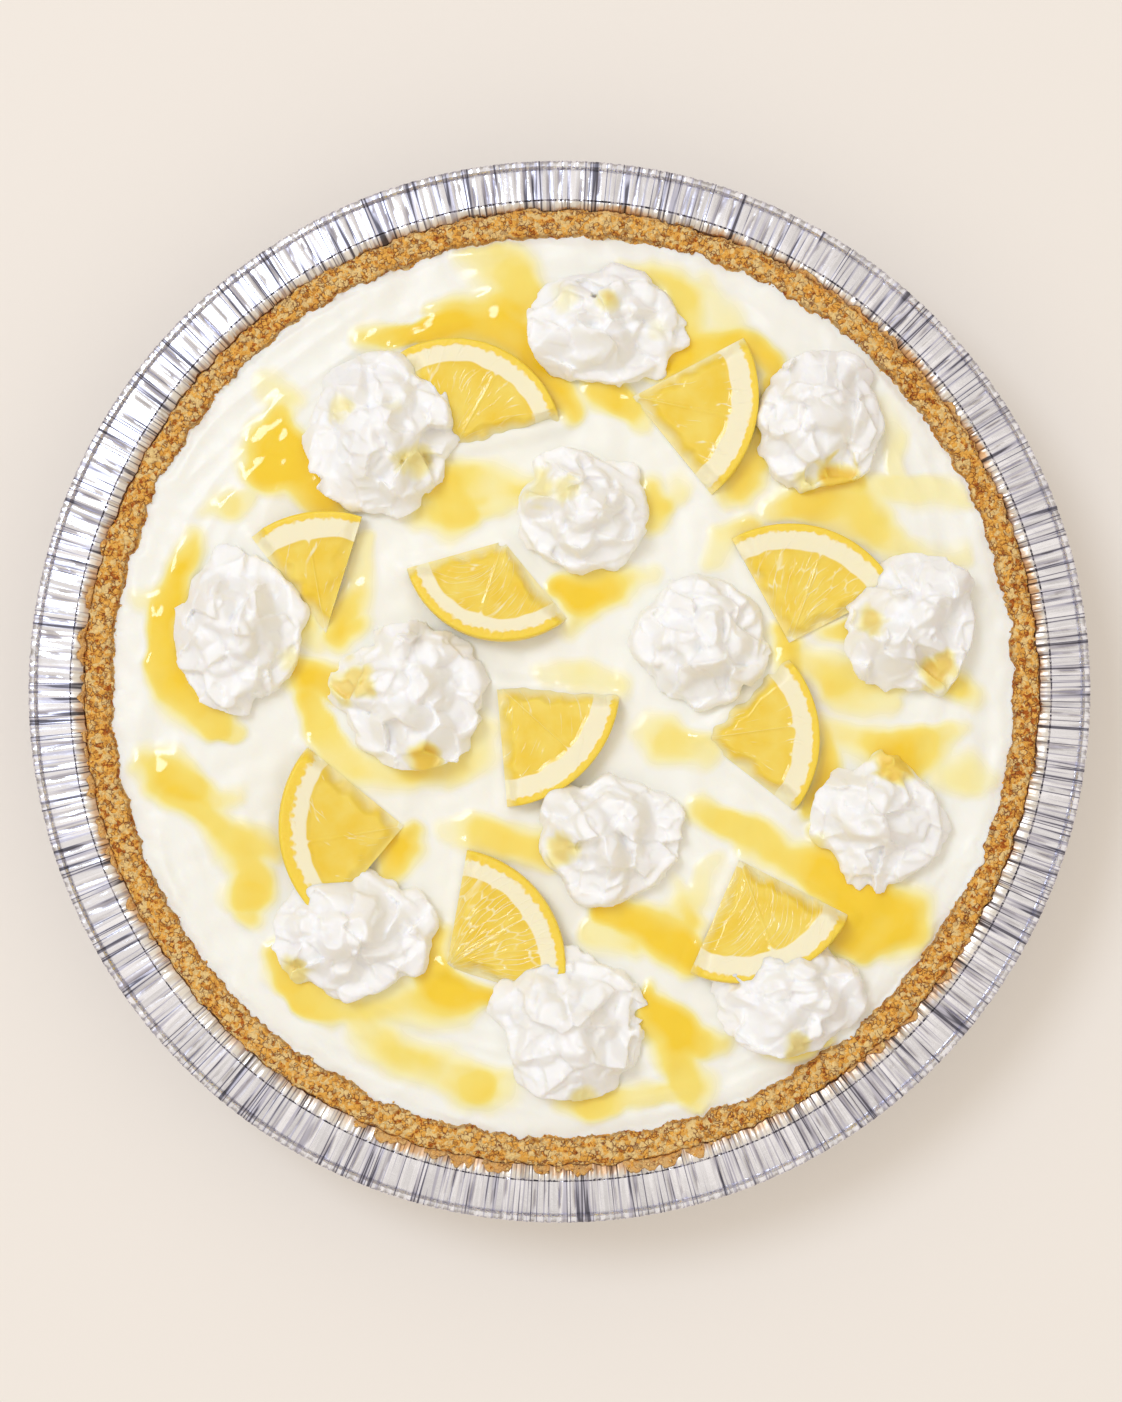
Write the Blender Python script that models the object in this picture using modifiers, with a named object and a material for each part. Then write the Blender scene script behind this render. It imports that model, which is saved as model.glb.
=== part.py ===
"""Lemon cheesecake pie in its foil pan.

A pressed crumb crust lines a pleated foil pan and holds a solid plug of lemon
cream filling with drizzled sauce on it.  Piped cream dollops and wedges cut
from lemon slices lie on the filling.  Metres, +Z up, origin under the middle
of the pan, +Y towards the top of the picture.
"""

import math
import random

import bmesh
import bpy
from mathutils import Matrix, Vector, noise

MM = 0.001
COLLECTION_NAME = "lemon_cheesecake_pie"
CLEARANCE = 0.3 * MM            # left between pieces that touch
MERGE_DISTANCE = 0.005 * MM     # points closer than this are one
SAME_PLACE = 0.1 * MM           # points this close are on the same ring or face
SHARP_ANGLE = math.radians(40)

# Foil pan
PAN_RADIUS = 114.5 * MM         # a 9 inch pan, over its curled rim
PAN_DEPTH = 30.0 * MM           # underside to flange
PAN_BASE_RADIUS = 84.0 * MM
PAN_MOUTH_RADIUS = 105.0 * MM   # where the wall turns out into the flange
FOIL_THICKNESS = 0.4 * MM       # thicker than foil, so that the wall is a sound solid
FOOT_HEIGHT = 2.5 * MM          # the sloping edge of the base, as wide as it is high
WALL_TOP = PAN_DEPTH - 1.5 * MM
WALL_SETBACK = 0.6 * MM         # the wall's top stands inside the mouth
FLANGE_HEIGHT = PAN_DEPTH - 0.1 * MM
FLANGE_START = PAN_MOUTH_RADIUS + 0.5 * MM
CURL_START = PAN_RADIUS - 2.4 * MM
CURL_RADIUS = 0.9 * MM          # the rolled edge
CURL_DROP = 0.6 * MM            # its middle line below the flange
CURL_ANGLES = (-90, 0, 70)      # the part of the roll that the foil follows
PLEATS = 72
PLEAT_DROP = 1.3 * MM           # from crest to valley on the flange
PLEAT_REACH = 0.9 * MM          # outwards on the wall

# Crust and filling
CRUST_STEPS = 108
CRUST_FLOOR = 5.0 * MM
CRUST_OUTER_RADIUS = 102.8 * MM     # top of the ring, outer edge
CRUST_INNER_RADIUS = 97.3 * MM      # top of the ring, inner edge
CRUST_TOP = 30.6 * MM
BROW_WIDTH = 1.1 * MM               # the rounded shoulders of the ring
INNER_EDGE_DROP = 0.6 * MM          # below the top
OUTER_EDGE_DROP = 1.8 * MM
LIP_HEIGHT = PAN_DEPTH - 3.0 * MM   # where the crust leaves the pan's wall
HEEL_SETBACK = 0.6 * MM             # the crust's underside stops inside the pan's base
INNER_DRIFT = 1.3 * MM              # the ring was pressed off centre, by this
INNER_DRIFT_HEADING = math.radians(60)
OUTER_DRIFT = 0.5 * MM
OUTER_DRIFT_HEADING = math.radians(50)
EDGE_RAGGEDNESS = 0.45 * MM         # in and out, where the crust meets the cream
BROW_RAGGEDNESS = 1.2 * MM
OUTER_RAGGEDNESS = 0.25 * MM
CRUST_CRAG = 0.7 * MM               # up and down
CRUMB_PITCH = 4.3 * MM
CRAG_SHARES = {                     # of the crag for each upper ring, and its noise's seed
    "inner edge": (0.2, 5.0),
    "inner brow": (1.0, 1.0),
    "outer brow": (1.0, 7.0),
    "outer edge": (0.5, 2.0),
    "lip": (1.0, 4.0),
}
INNER_SEED = 3.0
OUTER_SEED = 9.0
FILLING_BASE_RADIUS = 79.0 * MM
FILLING_EDGE_HEIGHT = 29.6 * MM
FILLING_CROWN = 1.6 * MM            # the middle stands this much above the edge
FILLING_RINGS = (0.0, 30.0 * MM, 62.0 * MM, 88.0 * MM)
SWIRL_DEPTH = 0.25 * MM             # the spatula's shallow spiral furrows
SWIRL_ARMS = 5
SWIRL_PITCH = 11.0 * MM             # outwards, for one radian of turn
SLOPING_GAP = 0.9 * MM              # level gap that leaves the clearance beside a sloping wall

# Sauce: a bead is a rounded ridge that rises this far out of the cream
SAUCE_RISE = 1.1 * MM
SAUCE_SINK = 0.5 * MM               # its middle line under the cream's surface
SAUCE_FILM = 0.15 * MM              # sauce may run this thick under a topping
TOPPING_LIFT = CLEARANCE + SAUCE_FILM

# Lemon slices
SLICE_THICKNESS = 3.5 * MM
SLICE_FACETS = 60               # round the whole slice that a wedge is cut from
RIND_BEVEL = 0.6 * MM

# Cream dollops
DOLLOP_LOBES = 8
LOBE_DEPTH = 0.20                   # share of the radius, from crest to crease
LOBE_SPREAD = 0.45                  # how unlike the lobes are
LOBE_JITTER = 6.0                   # degrees
LEVEL_JITTER = 0.035                # share of the height
PEAK_LEAN = 1.5 * MM
DOLLOP_FOOT = 0.80                  # radius of the foot, as a share of the skirt's
DOLLOP_SEED = 40

# Rooms: the spaces that a topping takes from its neighbours
ROOM_SHARE = 0.94                   # width kept free of sauce, as a share of the dollop's
ROOM_HEIGHT = 3.0 * MM              # above the sauce's film
ROOM_SEGMENTS = 14
ROOM_REACH_DOWN = 20.0 * MM         # a dollop is cut this far under the slice that lies in it
ROOM_REACH_UP = 40.0 * MM           # and this far over the slice that lies on it

# Place and size in millimetres: x, y, width, depth, height; then turn in degrees
DOLLOPS = (
    (10.7, 78.0, 33.5, 27.5, 17.0, 10),
    (-38.0, 55.0, 32.0, 34.0, 18.0, 35),
    (5.0, 38.3, 31.0, 28.5, 17.0, 62),
    (57.0, 57.0, 28.5, 30.5, 17.0, 5),
    (-67.6, 13.6, 28.5, 36.0, 17.5, 80),
    (-31.3, -0.9, 33.5, 30.0, 18.0, 22),
    (30.8, 11.3, 30.0, 29.5, 17.0, 48),
    (76.4, 13.2, 29.5, 31.0, 16.5, 70),
    (11.5, -31.3, 32.5, 29.5, 17.5, 15),
    (69.3, -28.2, 29.5, 28.5, 16.5, 55),
    (-43.6, -52.2, 34.0, 28.5, 17.0, 30),
    (2.4, -71.2, 34.0, 31.5, 17.0, 76),
    (49.0, -65.0, 32.0, 24.5, 14.0, 40),
)

# Tip in millimetres, radius in millimetres, first and last angle, and the
# tilt in degrees that lifts the rind
SLICES = (
    (-22.6, 52.3, 23.5, 14, 120, 3),
    (15.8, 63.2, 27.0, -51, 28, 2),
    (-50.1, 12.8, 26.0, 72.6, 128, 3),
    (-12.1, 31.9, 21.5, 205, 309, 7),
    (49.3, 10.6, 25.5, 27, 119, 2),
    (-13.4, 1.6, 26.5, 275, 355, 2),
    (30.6, -10.0, 25.2, -38, 44, 2),
    (-33.8, -28.8, 26.6, 141, 230, 8),
    (-24.1, -59.1, 25.6, -16.5, 80, 2),
    (38.7, -36.6, 26.2, 246.5, 333, 9),
)

# The slice that lies over the dollop beside it, instead of under it
TOP_SLICE = 9

# Each bead of sauce: x, y and half width in millimetres at its points
BEADS = (
    ((-39.9, 76.1, 1.6), (-27.6, 77.3, 2.2), (-19.5, 80.0, 3.4), (-11.0, 77.0, 3.2), (-2.0, 68.0, 2.6)),
    ((-16.4, 95.0, 1.8), (-11.5, 90.3, 3.8), (-7.2, 85.3, 3.6), (-4.6, 82.3, 2.0)),
    ((-57.1, 60.8, 1.4), (-59.7, 53.3, 5.6), (-54.7, 44.0, 4.4), (-50.9, 38.5, 1.8)),
    ((-71.3, 39.1, 1.2), (-70.6, 38.9, 2.6), (-69.4, 38.4, 1.2)),
    ((-28.7, 38.5, 1.8), (-24.5, 42.7, 3.6), (-18.5, 42.5, 3.4), (-11.0, 43.4, 1.8)),
    ((-78.9, 28.5, 1.4), (-85.0, 17.0, 2.2), (-84.2, 8.0, 2.4), (-79.0, -1.0, 4.0), (-73.0, -8.0, 2.2)),
    ((-56.7, 4.9, 1.8), (-52.0, 2.0, 3.6), (-49.6, -5.0, 2.2), (-44.9, -15.0, 2.4)),
    ((-88.0, -15.8, 2.0), (-83.0, -20.0, 3.2), (-78.0, -23.0, 3.0), (-71.0, -22.5, 1.4)),
    ((-71.0, -31.0, 1.8), (-68.0, -38.8, 3.4), (-66.4, -44.0, 3.4), (-65.5, -48.5, 1.6)),
    ((-58.8, -60.5, 1.6), (-51.0, -68.0, 3.0), (-41.0, -72.5, 2.8), (-31.0, -79.0, 3.2),
     (-19.0, -84.5, 4.6), (-14.0, -85.6, 1.8)),
    ((-28.5, -64.0, 1.6), (-24.5, -66.6, 2.6), (-17.0, -66.5, 1.4)),
    ((-21.0, -30.5, 1.4), (-15.0, -32.2, 2.8), (-7.8, -32.8, 2.4), (-4.4, -33.6, 1.4)),
    ((-0.3, 21.9, 1.8), (5.7, 21.2, 2.8), (11.5, 22.4, 2.0), (15.0, 24.0, 1.2)),
    ((22.0, 89.6, 1.4), (27.0, 85.8, 2.8), (29.6, 81.0, 2.8), (33.0, 78.0, 1.6)),
    ((56.5, 41.5, 1.4), (54.0, 40.0, 3.0), (60.5, 38.2, 3.4), (67.0, 36.3, 3.2), (74.0, 31.5, 2.0)),
    ((80.4, 4.8, 1.4), (84.7, 1.8, 2.6), (88.0, -1.0, 1.6)),
    ((67.0, -13.0, 1.8), (74.4, -13.0, 4.4), (80.0, -11.5, 2.4)),
    ((33.0, -26.0, 1.8), (41.0, -32.5, 2.6), (50.0, -36.0, 2.0), (59.0, -42.0, 2.4),
     (67.5, -48.0, 4.8), (74.0, -50.2, 4.2), (76.8, -51.6, 2.2)),
    ((12.5, -47.4, 1.6), (18.0, -50.3, 2.6), (24.0, -53.5, 3.0), (27.5, -55.2, 1.8)),
    ((20.5, -66.8, 2.2), (24.5, -70.6, 4.2), (28.5, -74.0, 2.8), (27.0, -82.0, 2.6), (29.5, -87.0, 2.0)),
)

# How the dollop's rings run from foot to peak: radius and height as shares of
# the whole, how much of the lobe depth shows, and the twist in degrees
DOLLOP_RINGS = (
    (DOLLOP_FOOT, 0.00, 0.5, 0),
    (1.00, 0.20, 1.0, 0),
    (0.93, 0.36, 1.2, 6),
    (0.68, 0.44, 0.9, 12),
    (0.72, 0.62, 1.4, 24),
    (0.50, 0.78, 1.5, 32),
    (0.26, 0.92, 1.2, 44),
)


def make_material(name, color, roughness, metallic=0.0):
    material = bpy.data.materials.new(name)
    material.use_nodes = True
    shader = material.node_tree.nodes["Principled BSDF"]
    shader.inputs["Base Color"].default_value = (*color, 1.0)
    shader.inputs["Roughness"].default_value = roughness
    shader.inputs["Metallic"].default_value = metallic
    return material


def add_object(name, mesh, collection, material=None):
    obj = bpy.data.objects.new(name, mesh)
    collection.objects.link(obj)
    if material is not None:
        mesh.materials.clear()
        mesh.materials.append(material)
    return obj


def mesh_from(bm, name):
    bmesh.ops.recalc_face_normals(bm, faces=bm.faces)
    mesh = bpy.data.meshes.new(name)
    bm.to_mesh(mesh)
    bm.free()
    return mesh


def evaluated_mesh(obj, name):
    depsgraph = bpy.context.evaluated_depsgraph_get()
    mesh = bpy.data.meshes.new_from_object(obj.evaluated_get(depsgraph))
    mesh.name = name
    return mesh


def turned_mesh(name, profile, steps, collection):
    """Turn an open profile of (radius, height) points round the Z axis."""
    mesh = bpy.data.meshes.new(name + "_profile")
    edges = [(i, i + 1) for i in range(len(profile) - 1)]
    mesh.from_pydata([(radius, 0.0, height) for radius, height in profile], edges, [])
    obj = add_object(name + "_profile", mesh, collection)
    screw = obj.modifiers.new("turn", "SCREW")
    screw.steps = steps
    screw.render_steps = steps
    screw.use_merge_vertices = True
    screw.merge_threshold = MERGE_DISTANCE
    turned = evaluated_mesh(obj, name)
    bpy.data.objects.remove(obj)
    bpy.data.meshes.remove(mesh)
    return turned


def reshape(mesh, move):
    """Move every point by a function of its own place."""
    for vertex in mesh.vertices:
        vertex.co = move(vertex.co.copy())
    mesh.update()


def polar(point):
    return math.hypot(point.x, point.y), math.atan2(point.y, point.x)


def at_polar(radius, angle, height):
    return Vector((radius * math.cos(angle), radius * math.sin(angle), height))


def ring_noise(angle, pitch, seed):
    """Smooth noise, -1 to 1, that closes on itself round the pie."""
    reach = CRUST_INNER_RADIUS / pitch
    return 2.0 * noise.noise(Vector((reach * math.cos(angle), reach * math.sin(angle), seed)))


# --- foil pan -----------------------------------------------------------

def wall_radius(height):
    """Outer radius of the pan's wall between its foot and its mouth."""
    foot = PAN_BASE_RADIUS + FOOT_HEIGHT
    share = (height - FOOT_HEIGHT) / (WALL_TOP - FOOT_HEIGHT)
    return foot + share * (PAN_MOUTH_RADIUS - WALL_SETBACK - foot)


def pleated(point):
    """Every second step folds: down on the flange, outwards on the wall."""
    radius, angle = polar(point)
    folds = round(angle / math.tau * 2 * PLEATS) % 2 == 1
    if not folds or radius < PAN_BASE_RADIUS + SAME_PLACE or radius > CURL_START + SAME_PLACE:
        return point
    if radius > PAN_MOUTH_RADIUS:
        return point - Vector((0.0, 0.0, PLEAT_DROP))
    share = (point.z - FOOT_HEIGHT) / (PAN_DEPTH - FOOT_HEIGHT)
    return at_polar(radius + PLEAT_REACH * share, angle, point.z)


def curl_point(degrees):
    """A point on the rolled edge; the foil's thickness goes on outside it."""
    angle = math.radians(degrees)
    middle = PAN_RADIUS - FOIL_THICKNESS - CURL_RADIUS
    height = PAN_DEPTH - CURL_DROP
    return middle + CURL_RADIUS * math.cos(angle), height + CURL_RADIUS * math.sin(angle)


def make_pan(collection, scratch):
    profile = (
        *(curl_point(degrees) for degrees in CURL_ANGLES),
        (CURL_START, FLANGE_HEIGHT),
        (FLANGE_START, FLANGE_HEIGHT),
        (wall_radius(WALL_TOP), WALL_TOP),
        (wall_radius(FOOT_HEIGHT), FOOT_HEIGHT),
        (PAN_BASE_RADIUS, 0.0),
        (0.0, 0.0),
    )
    mesh = turned_mesh("foil_pan", profile, 2 * PLEATS, scratch)
    reshape(mesh, pleated)
    foil = make_material("foil", (0.80, 0.80, 0.82), 0.28, 1.0)
    pan = add_object("foil_pan", mesh, collection, foil)
    solidify = pan.modifiers.new("foil thickness", "SOLIDIFY")
    solidify.thickness = FOIL_THICKNESS
    solidify.offset = -1.0


# --- crust and filling -----------------------------------------------------

def crust_inner(angle, raggedness=EDGE_RAGGEDNESS):
    """The ragged line where the crust's top meets the cream."""
    drift = INNER_DRIFT * math.cos(angle - INNER_DRIFT_HEADING)
    return CRUST_INNER_RADIUS + drift + raggedness * ring_noise(angle, CRUMB_PITCH, INNER_SEED)


def crust_outer(angle):
    drift = OUTER_DRIFT * math.cos(angle - OUTER_DRIFT_HEADING)
    return CRUST_OUTER_RADIUS + drift + OUTER_RAGGEDNESS * ring_noise(angle, CRUMB_PITCH, OUTER_SEED)


def make_crust(collection, scratch):
    """The cup of crumb: a turned profile, whose upper rings are then made ragged."""
    foot_height = FOOT_HEIGHT + CLEARANCE
    floor = FOIL_THICKNESS + CLEARANCE
    rings = {
        "floor inside": (0.0, CRUST_FLOOR),
        "corner inside": (FILLING_BASE_RADIUS + CLEARANCE, CRUST_FLOOR),
        "inner edge": (CRUST_INNER_RADIUS, CRUST_TOP - INNER_EDGE_DROP),
        "inner brow": (CRUST_INNER_RADIUS + BROW_WIDTH, CRUST_TOP),
        "outer brow": (CRUST_OUTER_RADIUS - BROW_WIDTH, CRUST_TOP),
        "outer edge": (CRUST_OUTER_RADIUS, CRUST_TOP - OUTER_EDGE_DROP),
        "lip": (wall_radius(LIP_HEIGHT) - SLOPING_GAP, LIP_HEIGHT),
        "foot": (wall_radius(FOOT_HEIGHT) - SLOPING_GAP, foot_height),
        "heel": (PAN_BASE_RADIUS - HEEL_SETBACK, floor),
        "underside": (0.0, floor),
    }
    mesh = turned_mesh("crust", list(rings.values()), CRUST_STEPS, scratch)
    ring_at = {(round(radius, 6), round(height, 6)): ring for ring, (radius, height) in rings.items()}

    def crumbled(point):
        radius, angle = polar(point)
        ring = ring_at[(round(radius, 6), round(point.z, 6))]
        if ring not in CRAG_SHARES:
            return point
        share, seed = CRAG_SHARES[ring]
        height = point.z + share * CRUST_CRAG * ring_noise(angle, CRUMB_PITCH, seed)
        radii = {
            "inner edge": crust_inner(angle),
            "inner brow": crust_inner(angle, BROW_RAGGEDNESS) + BROW_WIDTH,
            "outer brow": crust_outer(angle) - BROW_WIDTH,
            "outer edge": crust_outer(angle),
            "lip": wall_radius(height) - SLOPING_GAP,
        }
        return at_polar(radii[ring], angle, height)

    reshape(mesh, crumbled)
    crumb = make_material("crumb crust", (0.56, 0.30, 0.08), 0.9)
    add_object("crust", mesh, collection, crumb)


def cream_height(radius):
    """Height of the cream before its swirls, which only cut below this."""
    share = radius / CRUST_INNER_RADIUS
    return FILLING_EDGE_HEIGHT + FILLING_CROWN * (1.0 - share * share)


def make_filling(collection, scratch):
    edge = CRUST_INNER_RADIUS - SLOPING_GAP
    profile = (
        *((radius, cream_height(radius)) for radius in FILLING_RINGS),
        (edge, cream_height(edge)),
        (FILLING_BASE_RADIUS, CRUST_FLOOR + CLEARANCE),
        (0.0, CRUST_FLOOR + CLEARANCE),
    )
    mesh = turned_mesh("filling", profile, CRUST_STEPS, scratch)

    def swirled(point):
        radius, angle = polar(point)
        if abs(radius - edge) < SAME_PLACE:
            return at_polar(crust_inner(angle) - SLOPING_GAP, angle, point.z)
        on_top = point.z > FILLING_EDGE_HEIGHT
        if on_top and radius > SAME_PLACE:
            wave = 0.5 + 0.5 * math.sin(SWIRL_ARMS * angle + radius / SWIRL_PITCH)
            return point - Vector((0.0, 0.0, SWIRL_DEPTH * wave))
        return point

    reshape(mesh, swirled)
    cream = make_material("lemon cream filling", (0.90, 0.86, 0.74), 0.45)
    return add_object("filling", mesh, collection, cream)


# --- sauce -------------------------------------------------------------------

def make_bead(name, points, collection):
    """A flattened tube that follows the cream, with half of it showing."""
    curve = bpy.data.curves.new(name, "CURVE")
    curve.dimensions = "3D"
    curve.bevel_depth = MM      # so that a point's radius is its half width in millimetres
    curve.bevel_resolution = 1
    curve.use_fill_caps = True
    curve.twist_mode = "Z_UP"
    spline = curve.splines.new("POLY")
    spline.points.add(len(points) - 1)
    for spot, (x, y, half_width) in zip(spline.points, points):
        spot.co = (x * MM, y * MM, 0.0, 1.0)
        spot.radius = half_width
    tube = add_object(name, curve, collection)
    mesh = evaluated_mesh(tube, name)
    bpy.data.objects.remove(tube)
    bpy.data.curves.remove(curve)
    widest = max(half_width for _, _, half_width in points) * MM

    def flattened(point):
        radius, _ = polar(point)
        lift = (SAUCE_RISE + SAUCE_SINK) * point.z / widest
        return Vector((point.x, point.y, cream_height(radius) - SAUCE_SINK + lift))

    reshape(mesh, flattened)
    bm = bmesh.new()
    bm.from_mesh(mesh)
    bpy.data.meshes.remove(mesh)
    bmesh.ops.remove_doubles(bm, verts=bm.verts, dist=MERGE_DISTANCE)
    return add_object(name, mesh_from(bm, name), collection)


# --- lemon slices ------------------------------------------------------------

def sector(radius, bottom, top, first, last, grow):
    """A wedge of a round slice, tip at the origin, grown on all its sides."""
    bm = bmesh.new()
    depth = top - bottom
    bmesh.ops.create_cone(
        bm, cap_ends=True, segments=SLICE_FACETS,
        radius1=radius + grow, radius2=radius + grow, depth=depth,
        matrix=Matrix.Translation((0.0, 0.0, bottom + depth / 2)),
    )
    for angle, side in ((first, -1.0), (last, 1.0)):
        outward = Vector((-math.sin(angle), math.cos(angle), 0.0)) * side
        cut = bmesh.ops.bisect_plane(
            bm, geom=bm.verts[:] + bm.edges[:] + bm.faces[:],
            plane_co=outward * grow, plane_no=outward, clear_outer=True,
        )
        rim = [item for item in cut["geom_cut"] if isinstance(item, bmesh.types.BMEdge)]
        bmesh.ops.contextual_create(bm, geom=rim)
    return bm


def slice_matrix(x, y, first, last, tilt):
    """Lay a slice on the cream's slope, then tilt its rind up."""
    middle = math.radians((first + last) / 2)
    radius = math.hypot(x, y) * MM
    slope = cream_height(radius + MM) - cream_height(radius)
    outward = Vector((x, y, 0.0)).normalized()
    lean = Matrix.Rotation(math.atan2(slope, MM), 4, Vector((outward.y, -outward.x, 0.0)))
    lift_axis = Vector((math.sin(middle), -math.cos(middle), 0.0))
    lift = Matrix.Rotation(math.radians(tilt), 4, lift_axis)
    return Matrix.Translation((x * MM, y * MM, 0.0)) @ lift @ lean


def lowest_gap(bm):
    """How far the lowest point stands above the cream."""
    return min(vertex.co.z - cream_height(polar(vertex.co)[0]) for vertex in bm.verts)


def make_slice(index, place, collection, scratch, material):
    x, y, radius, first, last, tilt = place
    first_angle = math.radians(first)
    last_angle = math.radians(last)
    matrix = slice_matrix(x, y, first, last, tilt)
    bm = sector(radius * MM, 0.0, SLICE_THICKNESS, first_angle, last_angle, 0.0)
    arc = [
        edge for edge in bm.edges
        if all(vertex.co.xy.length > radius * MM - RIND_BEVEL for vertex in edge.verts)
        and abs(edge.verts[0].co.z - edge.verts[1].co.z) < SAME_PLACE
    ]
    bmesh.ops.bevel(bm, geom=arc, offset=RIND_BEVEL, segments=1, affect="EDGES")
    bmesh.ops.triangulate(bm, faces=bm.faces)
    bm.transform(matrix)
    rise = TOPPING_LIFT - lowest_gap(bm)
    bm.transform(Matrix.Translation((0.0, 0.0, rise)))
    name = f"lemon_slice_{index + 1:02d}"
    add_object(name, mesh_from(bm, name), collection, material)

    over = index == TOP_SLICE
    bottom = -CLEARANCE if over else -ROOM_REACH_DOWN
    top = ROOM_REACH_UP if over else SLICE_THICKNESS + CLEARANCE
    room = sector(radius * MM, bottom, top, first_angle, last_angle, CLEARANCE)
    room.transform(Matrix.Translation((0.0, 0.0, rise)) @ matrix)
    add_object(name + "_room", mesh_from(room, name + "_room"), scratch)


# --- cream dollops -----------------------------------------------------------

def make_dollop(index, place, collection, material):
    """A ruffled mound: a sphere's rings are set out to the dollop's tiers."""
    x, y, width, depth, height, turn = place
    draw = random.Random(DOLLOP_SEED + index)
    rings = len(DOLLOP_RINGS)
    bm = bmesh.new()
    bmesh.ops.create_uvsphere(bm, u_segments=2 * DOLLOP_LOBES, v_segments=rings + 1, radius=1.0)
    lobes = [draw.uniform(1.0 - LOBE_SPREAD, 1.0 + LOBE_SPREAD) for _ in range(DOLLOP_LOBES)]
    lean = Vector((draw.uniform(-1, 1), draw.uniform(-1, 1), 0.0)) * PEAK_LEAN
    for vertex in bm.verts:
        ring = round(math.acos(max(-1.0, min(1.0, -vertex.co.z))) / math.pi * (rings + 1))
        if ring == 0 or ring == rings + 1:
            vertex.co = (lean + Vector((0.0, 0.0, height * MM))) * (ring > 0)
            continue
        reach, level, frill, twist = DOLLOP_RINGS[ring - 1]
        angle = math.atan2(vertex.co.y, vertex.co.x)
        step = round(angle / math.tau * 2 * DOLLOP_LOBES)
        if step % 2 == 1:
            reach *= 1.0 - LOBE_DEPTH * frill * lobes[(step // 2 + ring) % DOLLOP_LOBES]
        angle += math.radians(turn + twist + draw.uniform(-LOBE_JITTER, LOBE_JITTER))
        if ring > 1:
            level += draw.uniform(-LEVEL_JITTER, LEVEL_JITTER)
        vertex.co = Vector((
            reach * math.cos(angle) * width * MM / 2,
            reach * math.sin(angle) * depth * MM / 2,
            level * height * MM,
        )) + lean * level
    for vertex in bm.verts:
        spot = vertex.co + Vector((x * MM, y * MM, 0.0))
        spot.z += cream_height(polar(spot)[0]) + TOPPING_LIFT
        vertex.co = spot
    name = f"cream_dollop_{index + 1:02d}"
    return add_object(name, mesh_from(bm, name), collection, material)


def lay_on_film(bm):
    """Set a room's floor, at height 0, on the film over the curved cream."""
    for vertex in bm.verts:
        vertex.co.z += cream_height(polar(vertex.co)[0]) + SAUCE_FILM


def make_dollop_room(index, place, scratch):
    """The space a dollop's foot takes, which the sauce stays out of."""
    x, y, width, depth, _, _ = place
    bm = bmesh.new()
    bmesh.ops.create_cone(
        bm, cap_ends=True, segments=ROOM_SEGMENTS, radius1=0.5, radius2=0.5, depth=ROOM_HEIGHT,
        matrix=Matrix.Translation((x * MM, y * MM, ROOM_HEIGHT / 2))
        @ Matrix.Diagonal((width * MM * ROOM_SHARE, depth * MM * ROOM_SHARE, 1.0, 1.0)),
    )
    lay_on_film(bm)
    name = f"dollop_room_{index + 1:02d}"
    return add_object(name, mesh_from(bm, name), scratch)


def make_slice_room(index, place, scratch):
    """The space under and in a slice, which the sauce stays out of."""
    x, y, radius, first, last, _ = place
    bm = sector(radius * MM, 0.0, ROOM_HEIGHT, math.radians(first), math.radians(last), CLEARANCE)
    bm.transform(Matrix.Translation((x * MM, y * MM, 0.0)))
    lay_on_film(bm)
    name = f"slice_room_{index + 1:02d}"
    return add_object(name, mesh_from(bm, name), scratch)


# --- putting it together -----------------------------------------------------

def combine(target, operation, operands, name):
    """One Boolean with a collection of operands, applied, operands removed."""
    group = bpy.data.collections.new(name)
    bpy.context.scene.collection.children.link(group)
    for operand in operands:
        for holder in list(operand.users_collection):
            holder.objects.unlink(operand)
        group.objects.link(operand)
    boolean = target.modifiers.new(name, "BOOLEAN")
    boolean.operation = operation
    boolean.operand_type = "COLLECTION"
    boolean.collection = group
    boolean.solver = "EXACT"
    material = target.data.materials[0]
    result = evaluated_mesh(target, target.name)
    target.modifiers.remove(boolean)
    before = target.data
    target.data = result
    bpy.data.meshes.remove(before)
    result.materials.clear()
    result.materials.append(material)
    for operand in list(group.objects):
        bpy.data.objects.remove(operand)
    bpy.data.collections.remove(group)


def copy_of(obj, scratch):
    twin = obj.copy()
    twin.data = obj.data.copy()
    scratch.objects.link(twin)
    return twin


def keep_largest(obj):
    """Drop the loose scraps that a cut can leave."""
    bm = bmesh.new()
    bm.from_mesh(obj.data)
    bmesh.ops.triangulate(bm, faces=bm.faces)
    bmesh.ops.remove_doubles(bm, verts=bm.verts, dist=MERGE_DISTANCE)
    bodies = []
    left = set(bm.faces)
    while left:
        seed = left.pop()
        body = {seed}
        front = [seed]
        while front:
            face = front.pop()
            for edge in face.edges:
                for other in edge.link_faces:
                    if other in left:
                        left.remove(other)
                        body.add(other)
                        front.append(other)
        bodies.append(body)
    bodies.sort(key=lambda body: sum(face.calc_area() for face in body))
    scraps = [face for body in bodies[:-1] for face in body]
    bmesh.ops.delete(bm, geom=scraps, context="FACES")
    loose = [vertex for vertex in bm.verts if not vertex.link_faces]
    bmesh.ops.delete(bm, geom=loose, context="VERTS")
    bm.to_mesh(obj.data)
    bm.free()


def near(first, second, reach):
    return math.hypot(first[0] - second[0], first[1] - second[1]) < reach


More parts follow.
